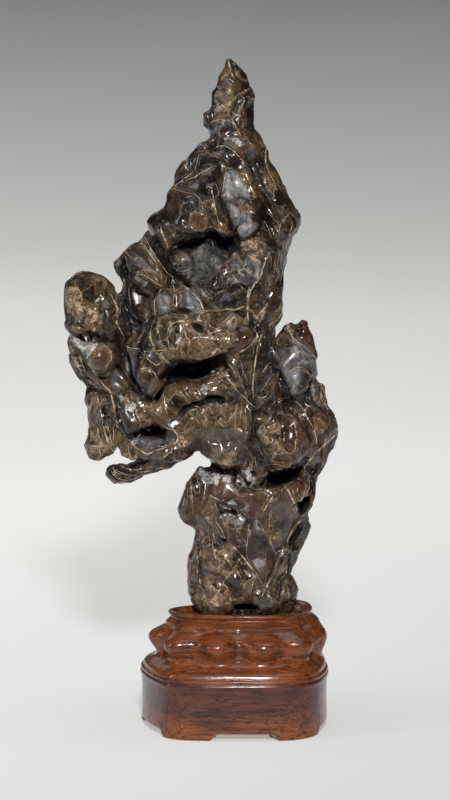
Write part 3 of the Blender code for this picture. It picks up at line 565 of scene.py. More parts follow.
PATCHES["wing"] = [
    ("crust", 80, 60, 130, 40, 200, 50, 290, 90, 330, 130, 385, 130, 370, 180, 340, 210, 340, 270,
     290, 280, 140, 200, 90, 110),
    ("ochre", 90, 220, 160, 230, 240, 260, 200, 300, 140, 290),
    ("shaded_pit", 250, 283, 310, 285, 352, 310, 340, 345, 260, 310),
    ("white", 110, 320, 180, 350, 250, 320, 320, 360, 330, 400, 230, 520, 160, 420, 120, 390),
    ("agate", 270, 470, 340, 390, 400, 400, 450, 440, 455, 510, 410, 580, 350, 620, 290, 590, 250, 540),
    ("tan", 240, 1180, 300, 1170, 360, 1200, 450, 1300, 390, 1340, 340, 1400, 270, 1390, 230, 1300),
    ("crust", 520, 1330, 660, 1350, 680, 1380, 600, 1420, 540, 1390),
    ("agate", 710, 640, 760, 600, 830, 630, 850, 680, 800, 730, 720, 710),
    ("white", 570, 920, 640, 890, 672, 930, 630, 990, 580, 960),
    ("white", 500, 830, 540, 815, 550, 860, 515, 875),
    ("tan", 670, 1000, 740, 960, 800, 1000, 780, 1060, 700, 1040),
    ("agate", 790, 900, 850, 920, 880, 980, 840, 1020, 790, 1000),
    ("shaded_pit", 645, 185, 690, 178, 722, 205, 700, 215),
    ("slate", 620, 420, 560, 440, 545, 560, 600, 650, 650, 640, 690, 440),
    ("calm", 350, 60, 450, 40, 520, 300, 540, 420, 540, 560, 470, 560, 400, 380, 340, 300),
    ("calm", 290, 0, 470, 0, 480, 160, 540, 300, 545, 560, 470, 570, 400, 400, 340, 300, 380, 140,
     330, 80),
    ("calm", 500, 950, 560, 900, 720, 1110, 640, 1190, 560, 1160, 510, 1060),
    ("slate", 440, 620, 500, 600, 530, 680, 530, 790, 470, 810, 430, 720),
    ("slate", 680, 1200, 780, 1190, 890, 1200, 920, 1240, 820, 1290, 740, 1270, 690, 1240),
]
PATCHES["flank"] = [
    ("tan", 360, 520, 400, 480, 445, 470, 390, 530),
    ("tan", 195, 515, 225, 510, 235, 550, 210, 550),
    ("ochre", 350, 730, 450, 760, 520, 830, 500, 960, 430, 970),
    ("slate", 300, 290, 430, 270, 450, 460, 380, 490, 310, 440),
    ("slate", 610, 1050, 700, 970, 690, 1030, 640, 1090, 600, 1180, 570, 1120),
    ("slate", 400, 1120, 470, 1120, 440, 1290, 400, 1330, 370, 1280),
    ("calm", 60, 130, 190, 80, 320, 200, 300, 340, 220, 460, 120, 380, 50, 230),
]
PATCHES["tail"] = [
    ("red", 760, 180, 850, 70, 855, 100, 770, 230),
    ("red", 935, 830, 960, 880, 970, 960, 940, 1020, 870, 1050, 810, 1020, 870, 950),
    ("slate", 490, 400, 540, 430, 550, 470, 520, 510, 480, 470),
    ("agate", 0, 420, 60, 430, 130, 410, 200, 410, 280, 430, 290, 500, 240, 600, 180, 650, 100, 690,
     0, 690),
    ("tan", 360, 360, 440, 370, 470, 410, 460, 470, 400, 530, 330, 560, 300, 540),
    ("shaded_pit", 410, 552, 450, 543, 492, 552, 462, 580, 430, 577),
    ("crust", 1030, 270, 1080, 250, 1170, 350, 1100, 370, 1050, 340),
    ("red", 1230, 300, 1290, 250, 1340, 330, 1380, 430, 1430, 640, 1250, 480, 1230, 400),
    ("calm", 920, 560, 1000, 520, 1110, 530, 1200, 520, 1280, 600, 1320, 680, 1290, 740, 1220, 740,
     1130, 790, 1080, 850, 1000, 830, 930, 740),
    ("slate", 1080, 860, 1200, 1080, 1190, 1130, 1130, 1100, 1070, 920),
    ("tan", 1020, 1160, 1055, 1150, 1060, 1240, 1030, 1250),
    ("crust", 200, 880, 270, 820, 350, 780, 400, 800, 440, 860, 400, 880, 350, 830, 240, 900),
    ("shaded_pit", 140, 1110, 200, 1072, 300, 1068, 372, 1098, 350, 1140, 280, 1122, 200, 1142),
    ("white", 130, 950, 200, 940, 210, 1000, 160, 1050, 110, 1020),
    ("calm", 700, 110, 850, 70, 900, 420, 920, 700, 900, 860, 800, 1020, 730, 1020, 800, 420, 740, 300),
    ("calm", 560, 260, 690, 330, 740, 440, 640, 540, 620, 700, 680, 1000, 600, 900, 560, 600, 500, 480),
    ("calm", 920, 540, 1200, 500, 1420, 680, 1430, 860, 1330, 900, 1220, 1100, 1100, 1080, 1060, 850,
     930, 740),
    ("agate", 620, 300, 680, 340, 700, 420, 640, 500, 580, 540, 560, 460, 600, 380),
]
PATCHES["paw"] = [
    ("white", 545, 215, 600, 200, 640, 240, 590, 275, 560, 260),
    ("slate", 620, 200, 740, 140, 980, 180, 1010, 230, 860, 260, 760, 300, 680, 300),
    ("slate", 1040, 90, 1140, 90, 1180, 180, 1130, 250, 1050, 270, 1000, 220),
    ("crust", 460, 400, 640, 440, 650, 490, 560, 530, 500, 500),
    ("crust", 1240, 150, 1330, 170, 1400, 260, 1330, 320, 1250, 290),
    ("tan", 940, 460, 1030, 440, 1120, 500, 1090, 580, 1000, 560, 950, 520),
    ("tan", 0, 60, 90, 100, 150, 280, 250, 290, 200, 420, 120, 500, 0, 490),
    ("calm", 200, 500, 340, 460, 540, 570, 1060, 600, 1050, 640, 700, 690, 400, 800, 280, 740),
]
PATCHES["hip"] = [
    ("shaded_pit", 205, 250, 225, 225, 240, 235, 215, 262),
    ("slate", 270, 180, 330, 140, 400, 150, 430, 180, 420, 250, 320, 220),
    ("tan", 420, 200, 500, 150, 700, 180, 740, 220, 640, 380, 560, 420, 520, 400, 440, 300),
    ("tan", 0, 520, 180, 420, 230, 430, 240, 500, 320, 540, 280, 580, 200, 600, 140, 650, 60, 680,
     0, 680),
    ("calm", 200, 600, 280, 570, 400, 620, 620, 590, 720, 610, 860, 680, 840, 730, 760, 770, 680, 850,
     560, 860, 280, 790, 140, 800, 60, 790),
    ("white", 215, 880, 300, 860, 390, 900, 430, 950, 460, 1000, 420, 1080, 370, 1130, 330, 1100,
     300, 1020),
    ("white", 500, 990, 560, 960, 640, 950, 650, 1060, 600, 1130, 510, 1110),
    ("crust", 1040, 480, 1110, 440, 1160, 380, 1230, 440, 1230, 540, 1200, 620, 1220, 700, 1260, 770,
     1130, 820, 1060, 800, 980, 720, 940, 640),
    ("calm", 1260, 430, 1330, 360, 1380, 440, 1400, 560, 1370, 740, 1300, 730, 1240, 640),
    ("ochre", 980, 740, 1060, 830, 1330, 880, 1330, 920, 1230, 970, 1080, 1000),
    ("ochre", 1400, 1010, 1460, 990, 1500, 1050, 1510, 1180, 1460, 1300, 1410, 1350, 1370, 1280,
     1360, 1180, 1370, 1080),
    ("calm", 1400, 1010, 1460, 990, 1500, 1050, 1510, 1180, 1460, 1300, 1410, 1350, 1370, 1280,
     1360, 1180, 1370, 1080),
    ("shaded_pit", 845, 975, 890, 985, 935, 1040, 900, 1040, 860, 1010),
    ("slate", 1060, 1340, 1120, 1290, 1200, 1290, 1260, 1330, 1240, 1410, 1160, 1440, 1080, 1430),
    ("red", 880, 1300, 960, 1290, 1000, 1380, 990, 1470, 940, 1450, 880, 1400),
    ("red", 360, 1150, 440, 1100, 620, 1180, 700, 1250, 800, 1300, 880, 1400, 880, 1500, 700, 1480,
     560, 1400, 440, 1300, 370, 1220),
]
PATCHES["trunk"] = [
    ("white", 115, 420, 150, 415, 160, 450, 125, 455),
    ("shaded_pit", 415, 348, 450, 345, 485, 375, 440, 372),
    ("slate", 400, 385, 470, 380, 480, 430, 420, 440),
    ("shaded_pit", 290, 352, 318, 335, 325, 352, 300, 365),
    ("shaded_pit", 300, 655, 330, 655, 362, 688, 320, 685),
    ("shaded_pit", 200, 928, 240, 935, 240, 948, 210, 945),
    ("tan", 480, 910, 560, 880, 640, 1020, 590, 1060, 540, 1130, 455, 980),
    ("white", 640, 1040, 690, 1060, 685, 1110, 650, 1100),
    ("tan", 280, 750, 370, 710, 440, 760, 480, 850, 440, 950, 360, 880, 300, 900),
    ("calm", 330, 1130, 400, 1050, 470, 1060, 520, 1130, 540, 1220, 500, 1290, 430, 1320, 380, 1250),
    ("crust", 200, 1300, 300, 1200, 360, 1240, 380, 1330, 480, 1330, 560, 1280, 650, 1260, 700, 1230,
     640, 1300, 560, 1350, 430, 1370, 350, 1410, 260, 1430, 170, 1390),
    ("tan", 30, 1110, 70, 1120, 80, 1200, 45, 1190),
    ("slate", 60, 970, 100, 900, 160, 950, 180, 1040, 120, 1100, 70, 1060),
    ("slate", 130, 790, 190, 790, 200, 850, 150, 870),
    ("calm", 600, 560, 640, 470, 720, 440, 760, 560, 840, 700, 870, 790, 930, 880, 860, 1050, 760, 1180,
     590, 870),
    ("tan", 740, 540, 830, 590, 900, 590, 970, 650, 980, 740, 930, 740),
    ("slate", 830, 230, 900, 180, 980, 210, 1010, 280, 960, 340, 880, 360, 830, 310),
    ("tan", 870, 560, 930, 550, 960, 600, 940, 660, 890, 620),
]
PATCHES["fork"] = [
    ("ochre", 380, 300, 470, 290, 500, 380, 500, 490, 440, 590, 390, 600, 340, 430),
    ("slate", 430, 740, 540, 700, 550, 780, 480, 830, 440, 790),
    ("slate", 450, 830, 560, 810, 575, 880, 500, 980, 420, 1000, 400, 940),
    ("tan", 250, 1090, 320, 1060, 330, 1140, 290, 1190, 300, 1280, 290, 1340, 250, 1280, 260, 1180),
    ("crust", 280, 1250, 330, 1240, 350, 1300, 300, 1350),
]
PATCHES["tip"] = [
    ("still", 590, 120, 730, 220, 850, 480, 850, 640, 700, 720, 430, 760, 330, 720, 310, 620, 390, 560,
     440, 330, 490, 180),
    ("hump", 345, 620, 380, 592, 420, 640, 430, 720, 410, 755, 355, 700),
    ("hump", 300, 930, 360, 870, 440, 860, 440, 940, 380, 970, 310, 960),
    ("amber", 450, 340, 640, 420, 600, 600, 560, 660, 480, 560, 440, 460),
]
PATCHES["crown"] = [
    ("cave", 250, 770, 330, 740, 430, 715, 480, 680, 600, 715, 720, 860, 745, 900, 720, 980, 680, 1050,
     620, 1100, 540, 1110, 450, 1100, 400, 1060, 340, 990, 270, 930, 240, 880, 240, 810),
    ("shaded_pit", 262, 772, 330, 742, 400, 728, 432, 712, 445, 692, 480, 678, 612, 724, 636, 788, 600, 812,
     480, 735, 438, 736, 395, 768, 335, 790, 275, 790),
    ("swell", 100, 640, 115, 590, 210, 530, 250, 440, 400, 480, 400, 540, 350, 560, 345, 640, 385, 690,
     230, 740, 150, 710),
    ("swell", 250, 430, 400, 330, 460, 300, 500, 320, 540, 420, 530, 500, 470, 500),
    ("swell", 430, 480, 480, 420, 600, 690, 560, 695, 470, 650, 440, 610, 425, 540),
    ("hump", 540, 420, 560, 350, 600, 320, 660, 350, 700, 430, 710, 500, 650, 480, 560, 520),
    ("hump", 590, 520, 650, 540, 740, 600, 770, 650, 640, 735, 600, 590),
    ("hump", 625, 490, 650, 480, 690, 510, 705, 560, 680, 560, 645, 530),
    ("swell", 920, 520, 960, 540, 990, 600, 980, 680, 930, 720, 900, 680, 900, 600),
    ("hump", 250, 400, 270, 330, 310, 270, 350, 265, 330, 330, 280, 380),
    ("hump", 760, 480, 800, 470, 860, 560, 885, 630, 850, 630, 800, 570),
    ("grit", 335, 850, 390, 800, 430, 750, 470, 750, 520, 800, 500, 880, 470, 920, 500, 1000, 430, 1010,
     340, 920),
    ("grit", 560, 860, 700, 900, 720, 960, 650, 960, 580, 920),
    ("grit", 245, 830, 310, 800, 330, 860, 330, 920, 280, 910, 245, 870),
]
PATCHES["left"] = [
    ("swell", 120, 340, 160, 260, 230, 230, 290, 240, 270, 290, 220, 340, 220, 430, 150, 470, 115, 430),
    ("hump", 140, 600, 200, 560, 290, 600, 330, 650, 260, 660, 200, 680, 140, 650),
    ("swell", 350, 480, 420, 440, 480, 480, 500, 560, 480, 650, 510, 760, 500, 880, 440, 900, 400, 760,
     350, 640),
    ("hump", 290, 840, 340, 770, 390, 735, 440, 800, 445, 860, 400, 900, 370, 945, 300, 900),
    ("swell", 550, 80, 700, 180, 760, 260, 830, 300, 810, 330, 700, 280, 650, 240, 560, 200, 540, 130),
    ("swell", 530, 210, 640, 260, 720, 310, 740, 380, 680, 480, 590, 560, 545, 470, 530, 350),
    ("swell", 725, 640, 780, 530, 860, 510, 929, 530, 929, 830, 800, 950, 770, 1030, 720, 1110,
     650, 1070, 610, 1000, 660, 760),
    ("swell", 480, 1200, 560, 1180, 620, 1250, 650, 1330, 590, 1380, 550, 1400, 500, 1300),
    ("hump", 455, 190, 480, 140, 530, 110, 530, 200, 500, 370, 470, 300),
    ("shaded_pit", 590, 1392, 640, 1355, 720, 1335, 780, 1342, 825, 1362, 820, 1392, 620, 1408),
    ("shaded_pit", 278, 668, 320, 672, 352, 690, 345, 710, 315, 712),
    ("shaded_pit", 200, 685, 225, 680, 240, 712, 215, 712),
    ("shaded_pit", 470, 905, 500, 900, 515, 930, 500, 945),
    ("amber", 740, 640, 800, 560, 929, 580, 929, 820, 840, 870, 760, 960, 660, 940, 650, 800, 700, 690),
    ("amber", 500, 1010, 600, 1090, 800, 1180, 800, 1300, 700, 1330, 640, 1260, 540, 1180),
    ("dent", 560, 600, 660, 590, 640, 690, 560, 740),
    ("striae", 250, 1100, 440, 1100, 500, 1480, 250, 1480),
]
PATCHES["middle"] = [
    ("swell", 40, 290, 60, 215, 130, 180, 200, 178, 250, 210, 240, 260, 290, 300, 400, 280, 455, 285,
     460, 350, 340, 400, 250, 425, 180, 425, 100, 395, 45, 345),
    ("hump", 290, 190, 440, 165, 440, 230, 380, 270, 310, 270),
    ("hump", 450, 260, 510, 180, 545, 270, 530, 330, 480, 365, 460, 320),
    ("shaded_pit", 100, 520, 130, 475, 175, 440, 250, 438, 320, 428, 335, 455, 310, 495, 260, 515, 200, 520,
     130, 540),
    ("swell", 530, 320, 560, 285, 610, 310, 628, 380, 628, 480, 600, 560, 570, 600, 545, 620, 525, 560),
    ("swell", 640, 400, 700, 330, 760, 350, 850, 400, 860, 510, 820, 520, 770, 460, 720, 500, 700, 530,
     645, 470),
    ("hump", 712, 510, 770, 462, 812, 500, 812, 560, 770, 600, 722, 600),
    ("swell", 700, 690, 760, 665, 830, 760, 855, 860, 830, 915, 740, 900, 700, 820),
    ("swell", 850, 620, 920, 680, 962, 760, 930, 820, 885, 835, 850, 740, 800, 650),
    ("hump", 790, 240, 830, 300, 855, 380, 850, 430, 800, 350, 770, 280),
    ("amber", 150, 680, 260, 650, 400, 640, 480, 680, 460, 780, 380, 830, 260, 810, 180, 820, 140, 760),
    ("amber", 100, 560, 280, 560, 400, 470, 470, 560, 420, 620, 300, 600, 200, 640, 120, 620),
    ("amber", 60, 200, 250, 230, 460, 290, 450, 370, 250, 420, 60, 370),
    ("amber", 560, 820, 640, 740, 700, 820, 690, 890, 600, 890),
    ("dent", 180, 870, 260, 810, 300, 850, 260, 900),
    # The matt patch: painted shade on a skirt that slopes down, and a rougher finish.
    ("dull", 200, 785, 350, 760, 520, 785, 590, 850, 520, 930, 350, 930, 230, 880),
    ("slate", 712, 510, 770, 462, 812, 500, 812, 560, 770, 600, 722, 600),
    ("striae", 430, 440, 520, 430, 560, 640, 500, 700, 440, 600),
    ("striae", 200, 785, 350, 760, 520, 785, 590, 850, 520, 930, 350, 930, 230, 880),
    ("striae", 740, 650, 800, 660, 860, 760, 870, 900, 780, 920, 750, 800),
    ("red", 700, 690, 780, 660, 850, 760, 860, 900, 760, 920, 690, 880),
]
PATCHES["foot"] = [
    ("shaded_pit", 565, 280, 600, 245, 740, 178, 800, 172, 830, 190, 800, 235, 760, 275, 730, 285, 680, 278,
     620, 290),
    ("shaded_pit", 795, 385, 840, 352, 885, 332, 880, 370, 850, 430, 820, 460, 800, 420),
    ("shaded_pit", 745, 602, 835, 510, 825, 545, 780, 618, 748, 630),
    ("swell", 130, 240, 180, 180, 220, 260, 250, 380, 240, 480, 180, 500, 110, 470, 80, 420),
    ("swell", 140, 700, 190, 660, 205, 850, 190, 960, 150, 940, 135, 850),
    ("swell", 205, 665, 300, 645, 400, 685, 425, 760, 400, 815, 300, 825, 215, 800),
    ("swell", 405, 790, 520, 810, 590, 880, 560, 930, 480, 965, 405, 975, 385, 880),
    ("swell", 220, 870, 300, 850, 370, 900, 380, 990, 320, 1020, 240, 1000),
    ("hump", 700, 870, 760, 840, 800, 900, 790, 960, 720, 980, 690, 940),
    ("hump", 780, 180, 850, 190, 840, 300, 800, 370, 760, 360),
    ("hump", 610, 370, 740, 290, 800, 400, 810, 470, 740, 600, 650, 560, 620, 470),
    ("shaded_pit", 412, 1000, 480, 990, 550, 998, 572, 1028, 500, 1032, 430, 1022),
    ("shaded_pit", 330, 425, 350, 430, 345, 445, 328, 440),
    ("shaded_pit", 400, 425, 435, 432, 440, 450, 415, 450),
    ("shaded_pit", 335, 600, 365, 600, 372, 612, 345, 618),
    ("amber", 230, 640, 400, 660, 500, 760, 560, 860, 540, 960, 400, 980, 250, 980, 210, 860, 215, 740),
    ("amber", 560, 330, 620, 330, 640, 560, 600, 560, 540, 440),
    ("dent", 300, 370, 420, 330, 480, 400, 420, 440, 330, 430),
    ("satin", 270, 260, 400, 250, 520, 300, 620, 330, 760, 300, 830, 420, 800, 560, 740, 640, 700, 800,
     600, 900, 400, 620, 280, 560, 200, 500, 190, 350),
    ("striae", 120, 240, 180, 180, 250, 280, 300, 420, 330, 560, 200, 640, 160, 520, 90, 440),
]
PATCHES["boss"] = [
    ("agate", 105, 240, 175, 226, 250, 258, 235, 300, 170, 330, 95, 330),
    ("agate", 320, 340, 360, 330, 400, 335, 470, 385, 500, 395, 430, 470, 340, 400),
    ("agate", 300, 420, 345, 410, 395, 470, 420, 540, 400, 590, 320, 585, 295, 500),
    ("agate", 430, 480, 560, 380, 580, 420, 575, 490, 520, 560, 440, 585, 425, 530),
    ("tan", 590, 360, 640, 335, 720, 350, 730, 390, 620, 400),
    ("agate", 640, 400, 720, 390, 760, 470, 690, 480, 620, 475),
    ("agate", 170, 480, 240, 480, 250, 540, 210, 560, 165, 520),
    ("red", 740, 360, 830, 290, 900, 340, 890, 430, 800, 500, 750, 450),
]
# Darkening patches of painted shade, silvery patches of painted sheen, and a few of the stone's own colours.
PATCHES["whole"] = [
    ("painted_shade", 176, 150, 200, 140, 232, 148, 250, 160, 236, 172, 222, 178, 214, 200, 196, 200, 180, 190,
     170, 176),
    ("painted_shade", 138, 194, 150, 184, 172, 190, 180, 208, 170, 222, 152, 226, 142, 214),
    ("painted_shade", 196, 122, 204, 88, 214, 66, 222, 80, 212, 128, 204, 132),
    ("painted_shade", 243, 60, 258, 84, 260, 106, 246, 112, 240, 90),
    ("painted_shade", 119, 268, 136, 262, 142, 280, 140, 306, 126, 306),
    ("painted_shade", 136, 346, 150, 340, 160, 352, 158, 376, 146, 386, 138, 368),
    ("painted_shade", 160, 320, 172, 316, 182, 330, 178, 346, 166, 348, 158, 336),
    ("painted_sheen", 226, 184, 232, 177, 241, 181, 248, 194, 241, 204, 232, 204, 226, 196),
    ("painted_sheen", 224, 202, 234, 206, 241, 216, 250, 230, 250, 242, 241, 238, 226, 214),
    ("painted_sheen", 186, 256, 204, 244, 222, 250, 220, 272, 202, 284, 188, 278),
    ("painted_sheen", 158, 297, 165, 292, 171, 298, 170, 310, 162, 313),
    ("painted_sheen", 184, 290, 192, 286, 202, 298, 203, 310, 190, 310),
    ("painted_sheen", 293, 340, 304, 340, 314, 352, 312, 362, 302, 366, 294, 356),
    ("painted_sheen", 285, 376, 294, 378, 298, 392, 290, 400, 284, 392),
    ("painted_sheen", 232, 262, 250, 256, 262, 262, 258, 280, 244, 288, 234, 280),
    ("painted_shade", 298, 366, 308, 366, 314, 376, 310, 392, 302, 394, 299, 380),
    ("painted_shade", 276, 345, 290, 342, 293, 352, 294, 368, 284, 370, 276, 360),
    ("calm", 142, 348, 160, 346, 168, 356, 160, 372, 146, 372),
    ("tan", 102, 270, 110, 270, 113, 284, 104, 288),
    ("white", 198, 455, 212, 459, 222, 472, 217, 484, 204, 484, 198, 470),
    ("white", 241, 470, 250, 468, 256, 482, 246, 490, 240, 482),
    ("crust", 212, 447, 236, 450, 240, 464, 222, 470, 210, 464),
    ("crust", 240, 246, 248, 236, 262, 230, 267, 238, 262, 252, 250, 256, 242, 252),
    ("amber", 66, 286, 80, 286, 84, 300, 80, 314, 68, 312),
    ("tan", 66, 287, 78, 286, 83, 300, 78, 312, 68, 310),
    ("tan", 178, 590, 196, 588, 240, 590, 238, 606, 210, 612, 182, 606),
    ("painted_shade", 176, 150, 200, 140, 232, 148, 250, 160, 236, 172, 222, 178, 214, 196, 196, 196, 180, 186,
     172, 176),
    ("painted_shade", 138, 194, 150, 184, 172, 190, 180, 208, 170, 222, 152, 226, 142, 214),
    ("painted_shade", 204, 88, 214, 66, 222, 80, 216, 110, 206, 134, 200, 112),
    ("painted_shade", 243, 60, 258, 84, 260, 106, 246, 112, 240, 90),
    ("painted_shade", 119, 268, 136, 262, 142, 280, 140, 306, 126, 306),
    ("painted_sheen", 224, 172, 232, 168, 243, 182, 250, 196, 240, 206, 232, 198, 225, 186),
    ("painted_sheen", 234, 206, 246, 212, 256, 228, 248, 240, 238, 228),
    ("painted_sheen", 186, 256, 204, 244, 222, 250, 220, 272, 202, 284, 188, 278),
    ("painted_sheen", 280, 344, 298, 350, 306, 370, 298, 382, 284, 374, 276, 356),
    ("white", 198, 459, 210, 461, 220, 472, 217, 482, 206, 484, 199, 472),
    ("crust", 212, 449, 234, 452, 238, 462, 222, 468, 212, 462),
    ("crust", 66, 288, 78, 286, 84, 300, 80, 314, 68, 312),
]

# For each kind of line: its channel of colour, half its width, and the rise, reach and step of its relief.
LINE_KINDS = {
    "hair": ("hair", 0.18, 0.12, 0.8, 0.0),
    "vein": ("vein", 0.28, 0.3, 1.0, 0.4),
    "bold": ("vein", 0.42, 0.5, 1.1, 0.4),
    "streak": ("vein", 0.7, 0.2, 1.4, 0.4),
    "gold": ("gold", 0.25, 0.35, 1.0, 0.5),
    # Painted shade: the crack and rift lines are darkened near black over their carved grooves.
    "crack": ("crack", 0.5, -1.7, 0.9, 0.3),
    "rift": ("crack", 0.65, -3.0, 1.5, 0.5),
    "crest": (None, 1.0, 1.4, 1.8, 0.0),
    "valley": (None, 1.0, -2.2, 3.0, 0.0),
}
LINE_CHANNELS = ("hair", "vein", "gold", "crack")
# For each kind of patch: the rise, the width of its shoulder, and its share of the relief. The forms have
# relief alone, and the others have a colour or a gloss too. Some of these are painted light: the pits and the
# matt patch are darkened with painted shade, the darkening patches are painted shade alone, and the silvery
# patches are a painted sheen.
FORM_KINDS = {
    "swell": (2.6, 6.0, 0.5),
    "hump": (1.5, 3.0, 0.5),
    "cave": (-5.0, 5.0, 1.0),
    "dent": (-2.0, 3.0, 0.8),
    "still": (0.0, 3.0, 0.3),
}
COLOUR_KINDS = {
    "slate": (0.5, 1.6, 0.45),
    "ochre": (0.6, 1.6, 0.4),
    "red": (0.3, 1.6, 0.6),
    "tan": (0.2, 1.5, 1.0),
    "crust": (0.5, 1.2, 1.2),
    "white": (0.2, 1.2, 1.2),
    "calm": (0.7, 3.0, 0.12),
    "shaded_pit": (-4.5, 1.0, 0.5),
    "rough": (-0.4, 3.0, 1.8),
    "grit": (0.0, 2.0, 1.5),
    "amber": (0.0, 2.0, 1.0),
    "dull": (0.0, 2.0, 0.4),
    "agate": (0.6, 1.6, 0.4),
    "satin": (0.0, 3.0, 0.3),
    "striae": (0.0, 2.0, 0.7),
    "painted_shade": (0.0, 3.0, 0.6),
    "painted_sheen": (0.3, 3.0, 0.5),
}
PATCH_KINDS = FORM_KINDS | COLOUR_KINDS
# Near black painted into the drawn crevices and pits, as painted shade over their carved grooves and dents.
CREVICE_SHADE_COLOUR = (0.002, 0.002, 0.002, 1)
# How far a line is stored, in halves of its width, and a patch, in millimetres.
LINE_FAR, PATCH_FAR = 6.0, 4.0

# The free relief of the rock, in millimetres.
BEND_SIZE, BEND = 26, 5
PLATE_SIZE, PLATE_RISE, PLATE_RIM = 15, 4.5, 0.9
CHIP_SIZE, CHIP_RISE, CHIP_RIM = 6.5, 1.8, 0.6
MOST_TILT = 0.4
BUSY_SIZE = 32
DEEPEST, HIGHEST = -2.6, 1.5
FOOT_BLEND = (1, 5)
BOX_MARGIN = 0.03

# ---------------------------------------------------------------- repeatable noise
# The mask of a 32-bit word, and the large odd numbers that scatter the cells.
WORD = 0xFFFFFFFF
CELL_STEPS = np.array((374761393, 668265263, 1442695041), np.int64)
SALT_STEP = 1274126177
MIXERS = (2246822519, 3266489917, 668265263)


def hashed(grid, salt):
    """Three repeatable numbers from 0 to 1 for each whole-number cell."""
    h = (grid @ CELL_STEPS + salt * SALT_STEP) & WORD
    numbers = []
    for step in MIXERS:
        h = ((h ^ (h >> 15)) * step) & WORD
        h = h ^ (h >> 13)
        numbers.append(h / (WORD + 1.0))
    return np.stack(numbers, 1)


def lumps(points, size, salt, octaves=1):
    """Smooth noise, about -1 to 1, whose lumps are about size across."""
    total, weight = np.zeros(len(points)), 1.0
    for octave in range(octaves):
        p = points / size * 2**octave + 31.7 * (octave + 1)
        base = np.floor(p).astype(np.int64)
        f = p - base
        blend = f * f * (3 - 2 * f)
        for corner in itertools.product((0, 1), repeat=3):
            slope = hashed(base + corner, salt + 13 * octave) * 2 - 1
            height = (slope * (f - corner)).sum(1)
            total += weight * 1.7 * height * np.prod(np.where(corner, blend, 1 - blend), axis=1)
        weight *= 0.5
    return total


def cells(points, size, salt):
    """The way from the middle of each point's cell, the distance to its border, and its own numbers."""
    p = points / size
    base = np.floor(p).astype(np.int64)
    offsets = [np.array(o) for o in itertools.product((-1, 0, 1), repeat=3)]
    nearest = np.full(len(p), np.inf)
    middle = np.zeros_like(p)
    own = np.zeros_like(p)
    for offset in offsets:
        cell = base + offset
        spot = cell + hashed(cell, salt)
        gap = ((spot - p) ** 2).sum(1)
        closer = gap < nearest
        nearest = np.where(closer, gap, nearest)
        middle[closer] = spot[closer]
        own[closer] = hashed(cell[closer], salt + 7)
    border = np.full(len(p), np.inf)
    for offset in offsets:
        cell = base + offset
        way = cell + hashed(cell, salt) - middle
        length = np.sqrt((way**2).sum(1))
        gap = ((middle + way / 2 - p) * way).sum(1) / np.maximum(length, 1e-9)
        border = np.where(length > 1e-6, np.minimum(border, gap), border)
    return (p - middle) * size, border * size, own


def ease(values, low, high):
    """0 below low, 1 above high, smooth between."""
    t = np.clip((values - low) / (high - low), 0, 1)
    return t * t * (3 - 2 * t)


# ---------------------------------------------------------------- mesh helpers
def table_of(items, name):
    """One row of three numbers for each of the mesh's items."""
    table = np.empty(len(items) * 3, np.float32)
    items.foreach_get(name, table)
    return table.reshape(-1, 3).astype(float)


def set_vertices(mesh, table):
    mesh.vertices.foreach_set("co", table.astype(np.float32).ravel())
    mesh.update()


def store(mesh, name, values):
    """Keeps one number for each vertex, for the material to read."""
    attribute = mesh.attributes.get(name) or mesh.attributes.new(name, "FLOAT", "POINT")
    attribute.data.foreach_set("value", values.astype(np.float32))


def link_mesh(name, mesh):
    piece = bpy.data.objects.new(name, mesh)
    bpy.context.scene.collection.objects.link(piece)
    return piece


def bake_modifiers(piece):
    """Swaps the piece's mesh for the one that its modifiers make."""
    graph = bpy.context.evaluated_depsgraph_get()
    made = bpy.data.meshes.new_from_object(piece.evaluated_get(graph))
    piece.modifiers.clear()
    piece.data = made
    made.shade_smooth()
    return made


